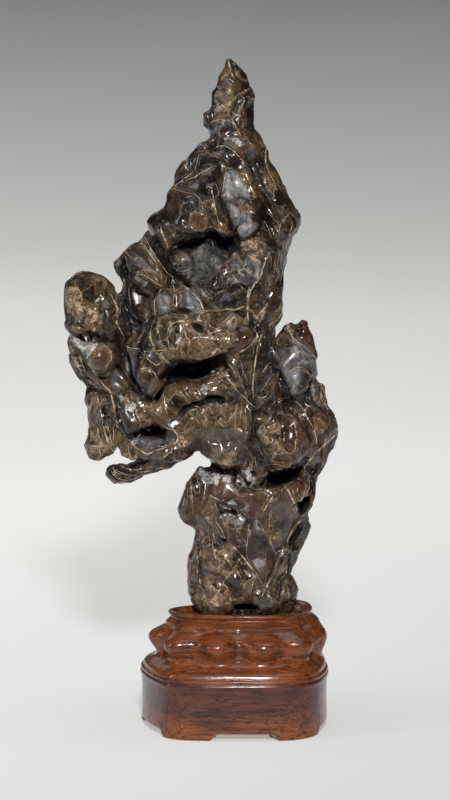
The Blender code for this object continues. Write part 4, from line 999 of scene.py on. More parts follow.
# ---------------------------------------------------------------- material helpers
class Nodes:
    """Builds one material's node tree with short calls."""

    def __init__(self, name):
        self.material = bpy.data.materials.new(name)
        self.material.use_nodes = True
        self.tree = self.material.node_tree
        self.tree.nodes.clear()
        self.output = self.tree.nodes.new("ShaderNodeOutputMaterial")
        self.place = self.add("ShaderNodeTexCoord").outputs["Object"]

    def add(self, kind, **settings):
        node = self.tree.nodes.new(kind)
        for key, value in settings.items():
            setattr(node, key, value)
        return node

    def join(self, value, socket):
        if isinstance(value, bpy.types.NodeSocket):
            self.tree.links.new(value, socket)
        else:
            socket.default_value = value

    def math(self, operation, *values):
        """The values put together one after another."""
        return functools.reduce(lambda a, b: self.pair("ShaderNodeMath", operation, a, b).outputs[0], values)

    def pair(self, kind, operation, a, b):
        node = self.add(kind, operation=operation)
        self.join(a, node.inputs[0])
        self.join(b, node.inputs[1])
        return node

    def vector(self, operation, a, b):
        return self.pair("ShaderNodeVectorMath", operation, a, b).outputs

    def product(self, *values):
        return self.math("MULTIPLY", *values)

    def total(self, *values):
        return self.math("ADD", *values)

    def less(self, value, taken):
        return self.math("SUBTRACT", value, taken)

    def most(self, *values):
        return self.math("MAXIMUM", *values)

    def span(self, value, low, high, start=0.0, end=1.0, smooth=True):
        """From start to end, as the value goes from low to high."""
        node = self.add("ShaderNodeMapRange", interpolation_type="SMOOTHSTEP" if smooth else "LINEAR")
        for socket, item in zip(node.inputs, (value, low, high, start, end)):
            self.join(item, socket)
        return node.outputs[0]

    def mix(self, share, a, b, blend="MIX"):
        """The colour a, with a share of b over it."""
        node = self.add("ShaderNodeMix", data_type="RGBA", blend_type=blend)
        self.join(share, node.inputs[0])
        self.join(a, node.inputs[6])
        self.join(b, node.inputs[7])
        return node.outputs[2]

    def grey(self, value):
        node = self.add("ShaderNodeCombineColor")
        for socket in node.inputs[:3]:
            self.join(value, socket)
        return node.outputs[0]

    def mix_value(self, share, a, b):
        node = self.add("ShaderNodeMix", data_type="FLOAT")
        self.join(share, node.inputs[0])
        self.join(a, node.inputs[2])
        self.join(b, node.inputs[3])
        return node.outputs[0]

    def attribute(self, name):
        return self.add("ShaderNodeAttribute", attribute_name=name).outputs["Fac"]

    def scaled(self, scale, turn=(0, 0, 0), place=None):
        """The place, turned by degrees and scaled along each axis."""
        node = self.add("ShaderNodeMapping")
        self.join(place or self.place, node.inputs["Vector"])
        node.inputs["Scale"].default_value = scale
        node.inputs["Rotation"].default_value = [math.radians(a) for a in turn]
        return node.outputs[0]

    def texture(self, kind, size, place=None, **settings):
        """A texture node with features of about size millimetres."""
        node = self.add(kind, **settings)
        self.join(place or self.place, node.inputs["Vector"])
        node.inputs["Scale"].default_value = 1 / (size * MM)
        return node

    def noise(self, size, detail=2.0, rough=0.5, place=None):
        """Noise from 0 to 1."""
        node = self.texture("ShaderNodeTexNoise", size, place)
        node.inputs["Detail"].default_value = detail
        node.inputs["Roughness"].default_value = rough
        return node.outputs["Fac"]

    def swing(self, amount, *noise):
        """Noise that swings about 0, by the amount."""
        return self.product(self.less(self.noise(*noise), 0.5), amount)

    def plates(self, size, place):
        """The rise of each point on its tilted cell, its border distance, and the cell's own grey."""
        cell = self.texture("ShaderNodeTexVoronoi", size, place, feature="F1")
        way = self.vector("SUBTRACT", place, cell.outputs["Position"])[0]
        lean = self.vector("SUBTRACT", cell.outputs["Color"], (0.5, 0.5, 0.5))[0]
        rise = self.vector("DOT_PRODUCT", way, lean)["Value"]
        edge = self.texture("ShaderNodeTexVoronoi", size, place, feature="DISTANCE_TO_EDGE")
        grey = self.add("ShaderNodeSeparateColor")
        self.join(cell.outputs["Color"], grey.inputs[0])
        tilt = self.math("DIVIDE", rise, size * MM)
        return tilt, self.product(edge.outputs["Distance"], size), grey.outputs[0]

    def warped(self, size, amount, place=None):
        """The place, pushed about by noise of the size, by the amount in millimetres."""
        noise = self.texture("ShaderNodeTexNoise", size, place)
        shift = self.vector("SUBTRACT", noise.outputs["Color"], (0.5, 0.5, 0.5))[0]
        push = self.vector("MULTIPLY", shift, (2 * amount * MM,) * 3)[0]
        return self.vector("ADD", place or self.place, push)[0]

    def bump(self, height, depth):
        """Bump of the depth, in millimetres, where height runs from 0 to 1."""
        node = self.add("ShaderNodeBump")
        node.inputs["Distance"].default_value = depth * MM
        self.join(height, node.inputs["Height"])
        return node.outputs[0]

    def surface(self, **inputs):
        node = self.add("ShaderNodeBsdfPrincipled")
        for key, value in inputs.items():
            self.join(value, node.inputs[key.replace("_", " ")])
        self.tree.links.new(node.outputs[0], self.output.inputs["Surface"])
        return self.material


# ---------------------------------------------------------------- the rock
def rock_skin(settings):
    """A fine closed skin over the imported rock, as a piece of its own."""
    piece = link_mesh("rock_surface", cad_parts["rock"].data.copy())
    remesh = piece.modifiers.new("Skin", "REMESH")
    remesh.mode = "VOXEL"
    remesh.voxel_size = settings.voxel
    remesh.use_smooth_shade = True
    smooth = piece.modifiers.new("Ease", "SMOOTH")
    smooth.factor = 0.5
    smooth.iterations = settings.smoothing
    bake_modifiers(piece)
    return piece


def face_spots(points):
    """Where each point falls on the face of the rock: (across, up), seen along the slant."""
    return np.stack([points[:, 0], points[:, 2] + points[:, 1] * SLANT], 1)


def lay_on_face(table, stage):
    """The drawn marks as (kind, spots), each point laid where the front view's ray meets the solid."""
    solid = BVHTree.FromObject(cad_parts["rock"], bpy.context.evaluated_depsgraph_get())
    eye, back, up = camera_axes(stage)
    step = SENSOR / LENS / FRONT_HEIGHT
    marks = []
    for panel, rows in table.items():
        left, top, enlargement = PANELS[panel]
        for kind, *drawn in rows:
            places = []
            for across, down in zip(drawn[::2], drawn[1::2]):
                right = (left + across / enlargement - FRONT_WIDTH / 2) * step
                rise = (FRONT_HEIGHT / 2 - top - down / enlargement) * step
                ray = Vector((right, 0, 0)) + up * rise - back
                beside = eye - ray * eye.y / ray.y
                places.append(solid.ray_cast(eye, ray)[0] or beside)
            marks.append((kind, face_spots(np.array(places) / MM)))
    return marks


def near(spots, outline, margin):
    """Which spots lie in the outline's box, grown by the margin."""
    low, high = outline.min(0) - margin, outline.max(0) + margin
    return np.nonzero(((spots > low) & (spots < high)).all(1))[0]


def from_line(spots, line):
    """The signed distance from each spot to the nearest stretch of the line."""
    best = np.full(len(spots), np.inf)
    signed = np.zeros(len(spots))
    for a, b in zip(line[:-1], line[1:]):
        way = b - a
        rest = spots - a
        share = np.clip(rest @ way / (way @ way), 0, 1)
        gap = np.hypot(*(rest - share[:, None] * way).T)
        side = np.sign(way[0] * rest[:, 1] - way[1] * rest[:, 0])
        closer = gap < best
        best = np.where(closer, gap, best)
        signed = np.where(closer, gap * np.where(side == 0, 1, side), signed)
    return signed


def inside_patch(spots, outline):
    """How far inside the outline each spot lies; negative outside."""
    gap = np.abs(from_line(spots, np.vstack([outline, outline[:1]])))
    inside = np.zeros(len(spots), bool)
    for a, b in zip(outline, np.roll(outline, -1, axis=0)):
        spans = (a[1] > spots[:, 1]) != (b[1] > spots[:, 1])
        rise = b[1] - a[1] if b[1] != a[1] else 1.0
        inside ^= spans & (spots[:, 0] < a[0] + (b[0] - a[0]) * (spots[:, 1] - a[1]) / rise)
    return np.where(inside, gap, -gap)


def drawn_relief(spots, lines, patches):
    """The height that the drawn lines and patches add, and the share of the free relief they leave."""
    height, share = np.zeros(len(spots)), np.ones(len(spots))
    for kind, outline in patches:
        rise, shoulder, left = PATCH_KINDS[kind]
        here = near(spots, outline, shoulder)
        inside = inside_patch(spots[here], outline)
        height[here] += rise * ease(inside, -0.3 * shoulder, 0.7 * shoulder)
        share[here] *= 1 + (left - 1) * ease(inside, -0.5 * shoulder, shoulder)
    for index, (kind, line) in enumerate(lines):
        rise, reach, step = LINE_KINDS[kind][2:]
        here = near(spots, line, 3 * reach + 4)
        side = from_line(spots[here], line)
        step *= (-1) ** index
        height[here] += rise * np.exp(-((side / reach) ** 2))
        height[here] += step * np.tanh(side / 0.6) * np.exp(-((side / 3.0) ** 2))
    return height, share


def tilted_cells(bent, squash, size, salt):
    """The rise of each point on its tilted cell, and its distance to the cell's border."""
    way, border, own = cells(bent * (1, 1, squash), size, salt)
    return np.clip((way * (own - 0.5)).sum(1) / size, -MOST_TILT, MOST_TILT), border


def carve(piece, settings, lines, patches):
    """Pushes the skin in and out: pillows, tilted plates, small knobs, and what is drawn on its face."""
    mesh = piece.data
    low, high = (np.array(corner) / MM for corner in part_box("rock"))
    points = table_of(mesh.vertices, "co") / MM
    normals = table_of(mesh.vertex_normals, "vector")
    pitch = math.radians(CAMERA_PITCH)
    toward = normals @ (0, -math.cos(pitch), math.sin(pitch))
    facing = ease(toward, 0.0, 0.35)
    away = ease(-toward, 0.1, 0.5)
    bent = points + BEND * np.stack([lumps(points, BEND_SIZE, salt) for salt in (1, 2, 3)], 1)
    plates, border = tilted_cells(bent, 0.8, PLATE_SIZE, 11)
    pillow = 1 - np.exp(-border / PLATE_RIM)
    busy = ease(lumps(points, BUSY_SIZE, 21), -0.35, 0.3)
    chips, border = tilted_cells(bent, 0.75, CHIP_SIZE, 31)
    knobs = 1 - np.exp(-border / CHIP_RIM)
    drawn, share = drawn_relief(face_spots(points), lines, patches)
    share = (0.55 + 0.45 * away) * (1 + (share - 1) * facing)
    free = (
        0.6 * (pillow - 0.8)
        + PLATE_RISE * plates
        + busy * (0.35 * (knobs - 0.7) + CHIP_RISE * chips)
        + 0.35 * lumps(points, 9, 41, 2)
        + 0.12 * busy * lumps(points, 2.2, 51, 2)
    )
    height = np.clip(free, DEEPEST, HIGHEST) * share + drawn * facing
    blend_low, blend_high = FOOT_BLEND
    height *= ease(points[:, 2], low[2] + blend_low, low[2] + blend_high) * settings.relief
    moved = np.clip(points + normals * height[:, None], low + BOX_MARGIN, high - BOX_MARGIN)
    set_vertices(mesh, moved * MM)
    store(mesh, "busy", busy)
    store(mesh, "facing", facing)
    # The carved depth, which the material turns into painted shade.
    store(mesh, "hollow", -height)


def mark(piece, lines, patches):
    """Stores how far each vertex lies from the drawn lines and inside the drawn patches."""
    mesh = piece.data
    spots = face_spots(table_of(mesh.vertices, "co") / MM)
    facing = np.empty(len(mesh.vertices), np.float32)
    mesh.attributes["facing"].data.foreach_get("value", facing)
    for channel in LINE_CHANNELS:
        side, close = np.full(len(spots), LINE_FAR), np.full(len(spots), LINE_FAR)
        for kind, line in lines:
            if LINE_KINDS[kind][0] != channel:
                continue
            half = LINE_KINDS[kind][1]
            here = near(spots, line, LINE_FAR * half)
            gap = from_line(spots[here], line) / half
            closer = np.abs(gap) < close[here]
            side[here[closer]] = gap[closer]
            close[here[closer]] = np.abs(gap[closer])
        store(mesh, channel + "_side", side)
        store(mesh, channel + "_near", np.clip((LINE_FAR - close) / 3, 0, 1) * facing)
    for name in COLOUR_KINDS:
        depth = np.full(len(spots), -PATCH_FAR)
        for kind, outline in patches:
            if kind != name:
                continue
            here = near(spots, outline, PATCH_FAR)
            depth[here] = np.maximum(depth[here], inside_patch(spots[here], outline))
        store(mesh, name, np.clip(depth, -PATCH_FAR, PATCH_FAR) + 2 * PATCH_FAR * (facing - 1))


def thin_out(piece, settings):
    """Fewer triangles, kept where the shape turns."""
    now = sum(len(face.vertices) - 2 for face in piece.data.polygons)
    if now > settings.most_triangles:
        cut = piece.modifiers.new("Thin out", "DECIMATE")
        cut.ratio = settings.most_triangles / now
        cut.use_collapse_triangulate = True
        bake_modifiers(piece)


def line_mask(n, channel, wander):
    """1 on the drawn lines of the channel. Their width wanders."""
    side = n.math("ABSOLUTE", n.attribute(channel + "_side"), 0.0)
    core = n.span(n.less(side, wander), 0.5, 1.3, 1, 0)
    return n.product(core, n.attribute(channel + "_near"))


def patch_mask(n, name, ragged, edge=0.35):
    """1 inside the drawn patches of the name, with ragged edges."""
    return n.span(n.total(n.attribute(name), ragged), -edge, edge)


def stone_features(n):
    """The noises, plates and drawn masks that the stone's colour, gloss and height share."""
    stone = SimpleNamespace()
    stone.mottle = n.noise(4.5, 4, 0.62)
    stone.speck = n.noise(1.3, 3, 0.65)
    stone.fray = n.swing(2.4, 1.6, 3, 0.6)
    stone.ragged = n.swing(6.0, 3.5, 4, 0.6)
    stone.calm = patch_mask(n, "calm", 0.0, 1.0)
    stone.amber = patch_mask(n, "amber", stone.ragged, 1.2)
    stone.dull = patch_mask(n, "dull", stone.ragged, 1.5)
    stone.satin = patch_mask(n, "satin", stone.ragged, 1.5)
    stone.slated = patch_mask(n, "slate", stone.fray)
    stone.big_tilt, big_border, stone.big_grey = n.plates(12, n.warped(8, 2.4))
    stone.tilt, border, stone.grey = n.plates(7.5, n.warped(5, 2.0))
    small = n.most(stone.amber, n.span(n.noise(26, 2), 0.5, 0.53))
    stone.edge = n.mix_value(small, big_border, border)
    stone.own = n.mix_value(small, stone.big_grey, stone.grey)
    blotches = n.span(stone.mottle, 0.44, 0.6, 0.05, 0.75)
    stone.tan = n.product(patch_mask(n, "tan", stone.ragged, 1.2), blotches)
    crumbs = n.span(n.noise(5, 4, 0.65), 0.42, 0.52, 0.1, 1)
    stone.crusty = n.product(patch_mask(n, "crust", stone.ragged, 0.6), crumbs)
    crystals = n.span(n.noise(4, 3), 0.36, 0.46, 0.4, 1)
    stone.whitish = n.product(patch_mask(n, "white", stone.ragged, 0.6), crystals)
    stone.gritty = patch_mask(n, "grit", stone.ragged, 1.5)
    stone.grit = n.product(stone.gritty, n.span(n.noise(2.2, 4, 0.7), 0.42, 0.62))
    stone.scruffy = n.most(stone.crusty, stone.whitish, n.product(stone.tan, 0.6))
    strands = n.noise(0.9, 3, 0.7, place=n.scaled((1, 1, 0.1), place=n.warped(14, 2.5)))
    stone.strands = n.product(n.span(strands, 0.54, 0.64), patch_mask(n, "striae", stone.ragged, 1.5))
    return stone


def find_veins(n, stone):
    """Adds the drawn veins, the drawn crevices and pits whose colour is painted shade, and golden rims that
    run free round some of the plates.
    """
    kept = n.product(stone.amber, n.span(stone.mottle, 0.5, 0.58))
    kept = n.most(n.span(n.noise(15, 2), 0.57, 0.63), kept)
    free = n.product(n.span(stone.edge, 0.1, 0.32, 1, 0), kept)
    free = n.product(free, n.less(0.9, n.product(n.attribute("facing"), 0.3)), n.less(1.0, stone.calm))
    wander = n.product(n.less(n.noise(2.6, 3), 0.55), 2.2)
    stone.veins = n.most(line_mask(n, "vein", wander), n.product(line_mask(n, "hair", wander), 0.8))
    stone.gold = n.most(line_mask(n, "gold", wander), free)
    stone.cracks = n.most(line_mask(n, "crack", 0.0), patch_mask(n, "shaded_pit", 0.0, 0.5))


def plate_ground(n, stone, settings):
    """The plates' own colours, from dark and brown to olive and red, with tan rims and umber faces."""
    own = stone.own
    tone = n.total(own, n.swing(2.4, 20, 4, 0.6))
    ground = n.mix(n.span(tone, 0.1, 0.8), settings.dark, settings.brown)
    ground = n.mix(n.span(own, 0.6, 0.66, 0, 0.55), ground, settings.olive)
    ground = n.mix(n.span(own, 0.8, 0.83, 0, 0.7), ground, settings.slate)
    ground = n.mix(n.span(own, 0.92, 0.94, 0, 0.6), ground, settings.red)
    hue = n.mix(n.span(own, 0.3, 0.7), settings.ochre, settings.olive)
    ground = n.mix(n.product(stone.amber, n.span(tone, 0.1, 0.7, 0.15, 0.7)), ground, hue)
    rims = n.span(n.total(stone.edge, stone.fray), 0.1, 1.9, 1, 0)
    rims = n.product(rims, n.span(n.noise(9, 2), 0.42, 0.6), n.mix_value(stone.amber, 0.22, 0.4))
    ground = n.mix(rims, ground, settings.tan)
    ground = n.mix(n.span(stone.mottle, 0.58, 0.66, 0, 0.4), ground, settings.tan)
    calm = n.product(stone.calm, n.span(n.noise(9, 3), 0.3, 0.7, 0.85, 0.45))
    return n.mix(calm, ground, settings.umber)


def slate_satin_and_painted_sheen(n, stone, settings, ground):
    """Slate and satin patches over the ground, and a painted sheen: pale grey painted on the silvery patches
    for their reflection.
    """
    cloudy = n.total(n.product(n.attribute("slate"), 0.015), n.noise(10, 5, 0.6))
    slate = n.mix(n.span(cloudy, 0.42, 0.75), settings.slate, settings.pale_slate)
    slated = n.product(stone.slated, n.span(n.noise(5, 4, 0.65), 0.35, 0.5, 0.35, 0.8))
    ground = n.mix(slated, ground, slate)
    # Painted sheen: streaky pale grey on the silvery patches, standing in for their reflection.
    streaks = n.span(n.noise(6, 4, 0.6), 0.36, 0.6, 0.3, 0.9)
    painted_sheen = n.product(patch_mask(n, "painted_sheen", stone.fray, 1.5), streaks)
    ground = n.mix(painted_sheen, ground, settings.painted_sheen)
    return n.mix(n.product(stone.satin, 0.45), ground, settings.heart)


def banded_patches(n, stone, settings, ground):
    """Ochre and agate patches, each with a pale rim and a dark heart, and red ones, over the ground."""
    depth = n.total(n.attribute("ochre"), n.product(stone.fray, 0.6))
    ochre = n.mix(n.span(depth, 0.9, 4.0), settings.ochre, settings.heart)
    rim = n.product(n.span(depth, 0.2, 1.6, 0.7, 0), n.span(n.noise(6, 2), 0.4, 0.6, 0.2, 1))
    ochre = n.mix(rim, ochre, settings.tan)
    ground = n.mix(n.product(patch_mask(n, "ochre", stone.fray), 0.85), ground, ochre)
    depth = n.total(n.attribute("agate"), n.product(stone.fray, 0.8))
    agate = n.mix(n.span(depth, 0.6, 3.4), settings.olive, settings.heart)
    agate = n.mix(n.span(depth, 0.1, 0.9, 0.6, 0), agate, settings.tan)
    ground = n.mix(n.product(patch_mask(n, "agate", stone.fray), 0.8), ground, agate)
    return n.mix(n.product(patch_mask(n, "red", stone.fray, 0.6), 0.7), ground, settings.red)


def crusts(n, stone, settings, ground):
    """Tan, pinkish crust, white crystals and grit over the ground."""
    ground = n.mix(stone.tan, ground, settings.tan)
    crust = n.mix(n.span(n.noise(3.5, 4, 0.7), 0.46, 0.54), settings.ochre, settings.crust)
    crust = n.mix(n.span(stone.speck, 0.56, 0.66), crust, settings.vein)
    ground = n.mix(n.product(stone.crusty, 0.85), ground, crust)
    white = n.mix(n.span(stone.speck, 0.36, 0.52), settings.pale_slate, settings.calcite)
    ground = n.mix(n.product(stone.whitish, 0.85), ground, white)
    return n.mix(n.product(stone.grit, 0.6), ground, n.mix(0.4, settings.pale_slate, settings.calcite))


def flecks_and_shade(n, stone, settings, ground):
    """Dark and pale flecks and fine strands over the ground, each plate given its own random tone, and
    painted shade: each carved hollow darker, and the darkening patches darker still.
    """
    ground = n.mix(n.span(n.noise(2.4, 3, 0.65), 0.5, 0.38, 0, 0.6), ground, settings.dark)
    flecks = n.product(n.span(stone.speck, 0.6, 0.67), n.span(n.noise(10, 3), 0.42, 0.58))
    ground = n.mix(n.product(flecks, 0.6), ground, settings.crust)
    ground = n.mix(n.product(stone.strands, 0.65), ground, settings.tan)
    # The plates' random tones, with painted shade that darkens the carved hollows.
    shade = n.total(
        n.product(stone.big_grey, 0.6), n.product(stone.grey, 0.25), n.product(n.noise(1.1, 2, 0.7), 0.5),
        n.span(n.attribute("hollow"), -0.6, 1.6, 0.45, -0.1),
    )
    # Painted shade: the darkening patches are painted darker.
    shade = n.product(shade, n.mix_value(patch_mask(n, "painted_shade", stone.ragged, 2.0), 1.0, 0.45))
    return n.mix(1.0, ground, n.grey(shade), "MULTIPLY")


def veined(n, stone, settings, ground):
    """Gold and pale veins over the ground, and painted shade: near black in the drawn crevices and pits, and
    darker over the matt patch.
    """
    colour = n.mix(n.product(stone.gold, 0.8), ground, n.mix(stone.grey, settings.gold, settings.vein))
    pale = n.mix(n.span(n.noise(5, 2), 0.42, 0.6), settings.vein, settings.gold)
    colour = n.mix(n.product(stone.veins, 0.85), colour, pale)
    # Painted shade: near black in the drawn crevices and pits.
    colour = n.mix(n.product(stone.cracks, 0.94), colour, CREVICE_SHADE_COLOUR)
    # Painted shade: the matt patch on a skirt that slopes down is darkened, besides being rougher.
    return n.mix(n.product(stone.dull, 0.6), colour, settings.dark)


def stone_roughness(n, stone):
    """Polished, with softer slate, rough crusts and the rough matt patch, glittering grit, and matt crevices
    and pits.
    """
    rough = n.span(n.noise(10, 4), 0.35, 0.7, 0.15, 0.32)
    rough = n.mix_value(n.most(stone.slated, stone.satin), rough, 0.4)
    rough = n.mix_value(n.most(stone.scruffy, stone.dull), rough, 0.6)
    rough = n.mix_value(stone.grit, rough, 0.14)
    return n.mix_value(stone.cracks, rough, 0.9)


def stone_height(n, stone):
    """Fine grain, tilted plates, and veins that stand a little proud."""
    coarse = n.most(stone.scruffy, patch_mask(n, "rough", stone.ragged))
    grain = n.mix_value(coarse, 0.2, 1.3)
    grain = n.mix_value(stone.calm, grain, 0.08)
    grain = n.mix_value(stone.gritty, grain, 1.8)
    grain = n.product(n.noise(1.6, 4, 0.6), grain)
    facets = n.total(n.product(stone.big_tilt, 2.2), n.product(stone.tilt, n.attribute("busy"), 1.3))
    facets = n.product(facets, n.mix_value(stone.calm, 1.0, 0.15))
    raised = n.most(stone.veins, stone.gold, n.product(stone.strands, 0.6))
    return n.total(grain, facets, n.product(raised, 0.4))


def polished_stone(settings):
    """Dark polished limestone, with everything that is laid over its plates, in order."""
    n = Nodes("polished_stone")
    stone = stone_features(n)
    find_veins(n, stone)
    colour = plate_ground(n, stone, settings)
    for layer in (slate_satin_and_painted_sheen, banded_patches, crusts, flecks_and_shade, veined):
        colour = layer(n, stone, settings, colour)
    return n.surface(
        Base_Color=colour, Roughness=stone_roughness(n, stone), Normal=n.bump(stone_height(n, stone), 0.5),
        Specular_IOR_Level=0.45, Coat_Weight=0.18, Coat_Roughness=0.05,
    )


# ---------------------------------------------------------------- the stand
def smooth_outline(plan, steps=24):
    """The plan as a closed curve through its points, about the middle of the stand."""
    points = [Vector((x - PLAN_MIDDLE, y)) for x, y in plan]
    count = len(points)
    outline = []
    for i in range(count):
        before, a, b, after = (points[(i + k) % count] for k in (-1, 0, 1, 2))
        outline += geometry.interpolate_bezier(a, a + (b - before) / 6, b - (after - a) / 6, b, steps)[:-1]
    return outline


def radii_of(plan, angles):
    """How far the outline lies from the middle of the stand, at each angle."""
    outline = np.array([tuple(p) for p in smooth_outline(plan)])
    turn = np.unwrap(np.arctan2(outline[:, 1], outline[:, 0]))
    reach = np.hypot(outline[:, 0], outline[:, 1])
    circle = 2 * math.pi
    turn = np.concatenate([turn - circle, turn, turn + circle])
    reach = np.tile(reach, 3)
    order = np.argsort(turn)
    return np.interp((angles + math.pi) % circle - math.pi, turn[order], reach[order])


def groove_depths(degrees):
    """0 on the crown of each lobe, and the depth of the nearer groove between two lobes."""
    first, depth = GROOVES[0]
    ends = [*GROOVES, (first + 360, depth)]
    turned = (degrees - first) % 360 + first
    depths = np.zeros_like(degrees)
    for (start, start_depth), (end, end_depth) in zip(ends, ends[1:]):
        share = (turned - start) / (end - start)
        inside = (share >= 0) & (share < 1)
        depth = start_depth + (end_depth - start_depth) * ease(share, 0.4, 0.6)
        valley = (0.5 + 0.5 * np.cos(2 * math.pi * share)) ** 1.2
        depths = np.where(inside, depth * valley, depths)
    return depths


def foot_lift(degrees):
    """How far the underside is lifted off the floor: 0 on a foot, 1 between feet."""
    lift = np.ones_like(degrees)
    for start, end in FEET:
        middle, half = (start + end) / 2, (end - start) / 2
        away = np.abs((degrees - middle + 180) % 360 - 180) - half
        lift = np.minimum(lift, ease(away, -0.5, 3.5))
    return lift


def smooth_profile(rows, steps):
    """The rows with steps times as many between them, on a curve through them all."""
    table = np.array(rows, float)
    fine = np.linspace(0, len(table) - 1, (len(table) - 1) * steps + 1)
    out = []
    for column in table.T:
        slope = np.gradient(column)
        steep = np.diff(column)
        flat = np.concatenate([[0], np.sign(steep[:-1]) * np.sign(steep[1:]), [0]]) <= 0
        slope = np.where(flat, 0, slope)
        i = np.minimum(fine.astype(int), len(table) - 2)
        t = fine - i
        leaving = column[i] * (1 + 2 * t) + slope[i] * t
        coming = column[i + 1] * (3 - 2 * t) - slope[i + 1] * (1 - t)
        out.append(leaving * (1 - t) ** 2 + coming * t * t)
    return np.stack(out, 1)


def stand_wood_mesh(settings):
    """The stand as one closed loft: feet, drum, bead, lobes, lip and the recess for the rock."""
    around = settings.around
    degrees = np.arange(around) * 360 / around - 180
    angles = np.radians(degrees)
    lip, shoulder, base = (radii_of(plan, angles) for plan in (LIP_PLAN, SHOULDER_PLAN, BASE_PLAN))
    groove = groove_depths(degrees)
    lift = UNDERSIDE * foot_lift(degrees)
    rings = []

    def add_ring(radii, heights):
        heights = np.broadcast_to(heights, radii.shape)
        x = STAND_MIDDLE[0] + radii * np.cos(angles)
        y = STAND_MIDDLE[1] + radii * np.sin(angles)
        rings.append(np.stack([x, y, heights], 1))

    for inset in UNDERSIDE_INSETS:
        add_ring(np.maximum(base - inset, 5), UNDERSIDE)
    inset, drop = FOOT_BEVEL
    add_ring(base - inset, np.maximum(lift - drop, 0.0))
    for inset in FOOT_INSETS:
        add_ring(base - inset, lift)
    for inset, rise in FOOT_EDGE:
        add_ring(base - inset, lift + rise)
    drum = lift + FOOT_EDGE[-1][1]
    for share in np.arange(1, DRUM_RINGS + 1) / (DRUM_RINGS + 1):
        add_ring(base - DRUM_WAIST * np.sin(math.pi * share), drum + (DRUM_TOP - drum) * share)
    fold = FOLD_RISE * np.exp(-(((degrees - FOLD_ANGLE) / FOLD_SPREAD) ** 2))
    for height, place, offset, share in smooth_profile(PROFILE, PROFILE_STEPS):
        inner, outer = (shoulder, base) if place > 1 else (lip, shoulder)
        mix = place - 1 if place > 1 else place
        lifted = fold * math.exp(-(((height - FOLD_HEIGHT) / FOLD_DEPTH) ** 2))
        add_ring(inner + (outer - inner) * mix + offset + lifted - share * groove, height)
    for inset, height in RECESS:
        add_ring(np.maximum(lip - RIM_WIDTH - inset, 1.5), height)
    table = np.concatenate(rings)
    row = np.arange(around)
    faces = []
    for start in range(0, len(table) - around, around):
        a = start + row
        b = start + (row + 1) % around
        faces += np.stack([a, b, b + around, a + around], 1).tolist()
    faces.append(row[::-1].tolist())
    faces.append((len(table) - around + row).tolist())
    mesh = bpy.data.meshes.new("stand_wood")
    mesh.from_pydata((table * MM).tolist(), [], faces)
    mesh.update()
    return mesh


def rosewood(settings):
    """Oiled rosewood: fine grain along the block, cooler and warmer zones, and short dark pores."""
    n = Nodes("rosewood")
    up = n.add("ShaderNodeSeparateXYZ")
    n.join(n.warped(25, 5), up.inputs[0])
    height = n.product(up.outputs["Z"], 1 / MM)
    low = n.span(height, 4, 20, 1, 0)
    carved = n.span(height, 33, 38)
    warmth = n.total(n.most(low, carved), n.noise(30, 3, place=n.scaled((0.35, 1, 1))))
    along = n.scaled((0.09, 1, 1), turn=(0, 3, 2), place=n.warped(30, 1.6))
    grain = n.noise(1.5, 4, 0.62, place=along)
    streak = n.noise(5, 4, 0.6, place=along)
    colour = n.mix(n.span(warmth, 0.6, 1.4), settings.purple, settings.warm)
    colour = n.mix(n.span(streak, 0.48, 0.64, 0, 0.7), colour, settings.dark)
    colour = n.mix(1.0, colour, n.grey(n.span(grain, 0.3, 0.7, 0.42, 1.45, smooth=False)), "MULTIPLY")
    dashes = n.noise(0.75, 2, 0.6, place=n.scaled((0.2, 1, 1), turn=(0, 3, 2)))
    dots = n.noise(0.9, 2, 0.6, place=n.scaled((0.5, 1, 1)))
    keep = n.noise(6.0, 3, 0.6, place=n.scaled((0.4, 1, 1)))
    pore = n.product(n.span(n.mix_value(carved, dashes, dots), 0.54, 0.63), n.span(keep, 0.36, 0.54))
    colour = n.mix(n.product(pore, 0.85), colour, settings.pore)
    rough = n.span(streak, 0.3, 0.7, 0.22, 0.3)
    skin = n.less(n.product(grain, 0.25), pore)
    return n.surface(
        Base_Color=colour, Roughness=rough, Normal=n.bump(skin, 0.12),
        Coat_Weight=0.35, Coat_Roughness=0.1, Specular_IOR_Level=0.35,
    )


# ---------------------------------------------------------------- the studio
# Each lamp has its name, place, size, power and colour. They all point at the aim.
LAMP_AIM = (0.0, 0.0, 0.2)
LAMPS = [
    ("key", (0.07, -1.97, 1.2), (0.2, 0.2), 43, (1.0, 0.98, 0.95)),
    ("overhead", (0.0, -0.1, 1.9), (1.6, 1.0), 10, (1.0, 1.0, 1.0)),
    ("side_left", (-1.5, -0.6, 0.8), (0.4, 0.9), 5, (0.95, 0.98, 1.0)),
    ("back_fill", (-0.7, 2.2, 1.3), (1.2, 1.0), 2.2, (1.0, 0.98, 0.95)),
]
AIR_COLOUR, AIR_STRENGTH = (0.9, 0.95, 1.0, 1), 0.04


def floor_sheet(name, start, end, settings):
    """A flat piece of the floor from one depth to another, as wide as the whole floor."""
    half = settings.floor_reach
    corners = [(-half, start, 0), (half, start, 0), (half, end, 0), (-half, end, 0)]
    mesh = bpy.data.meshes.new(name)
    mesh.from_pydata(corners, [], [(0, 1, 2, 3)])
    mesh.update()
    return mesh


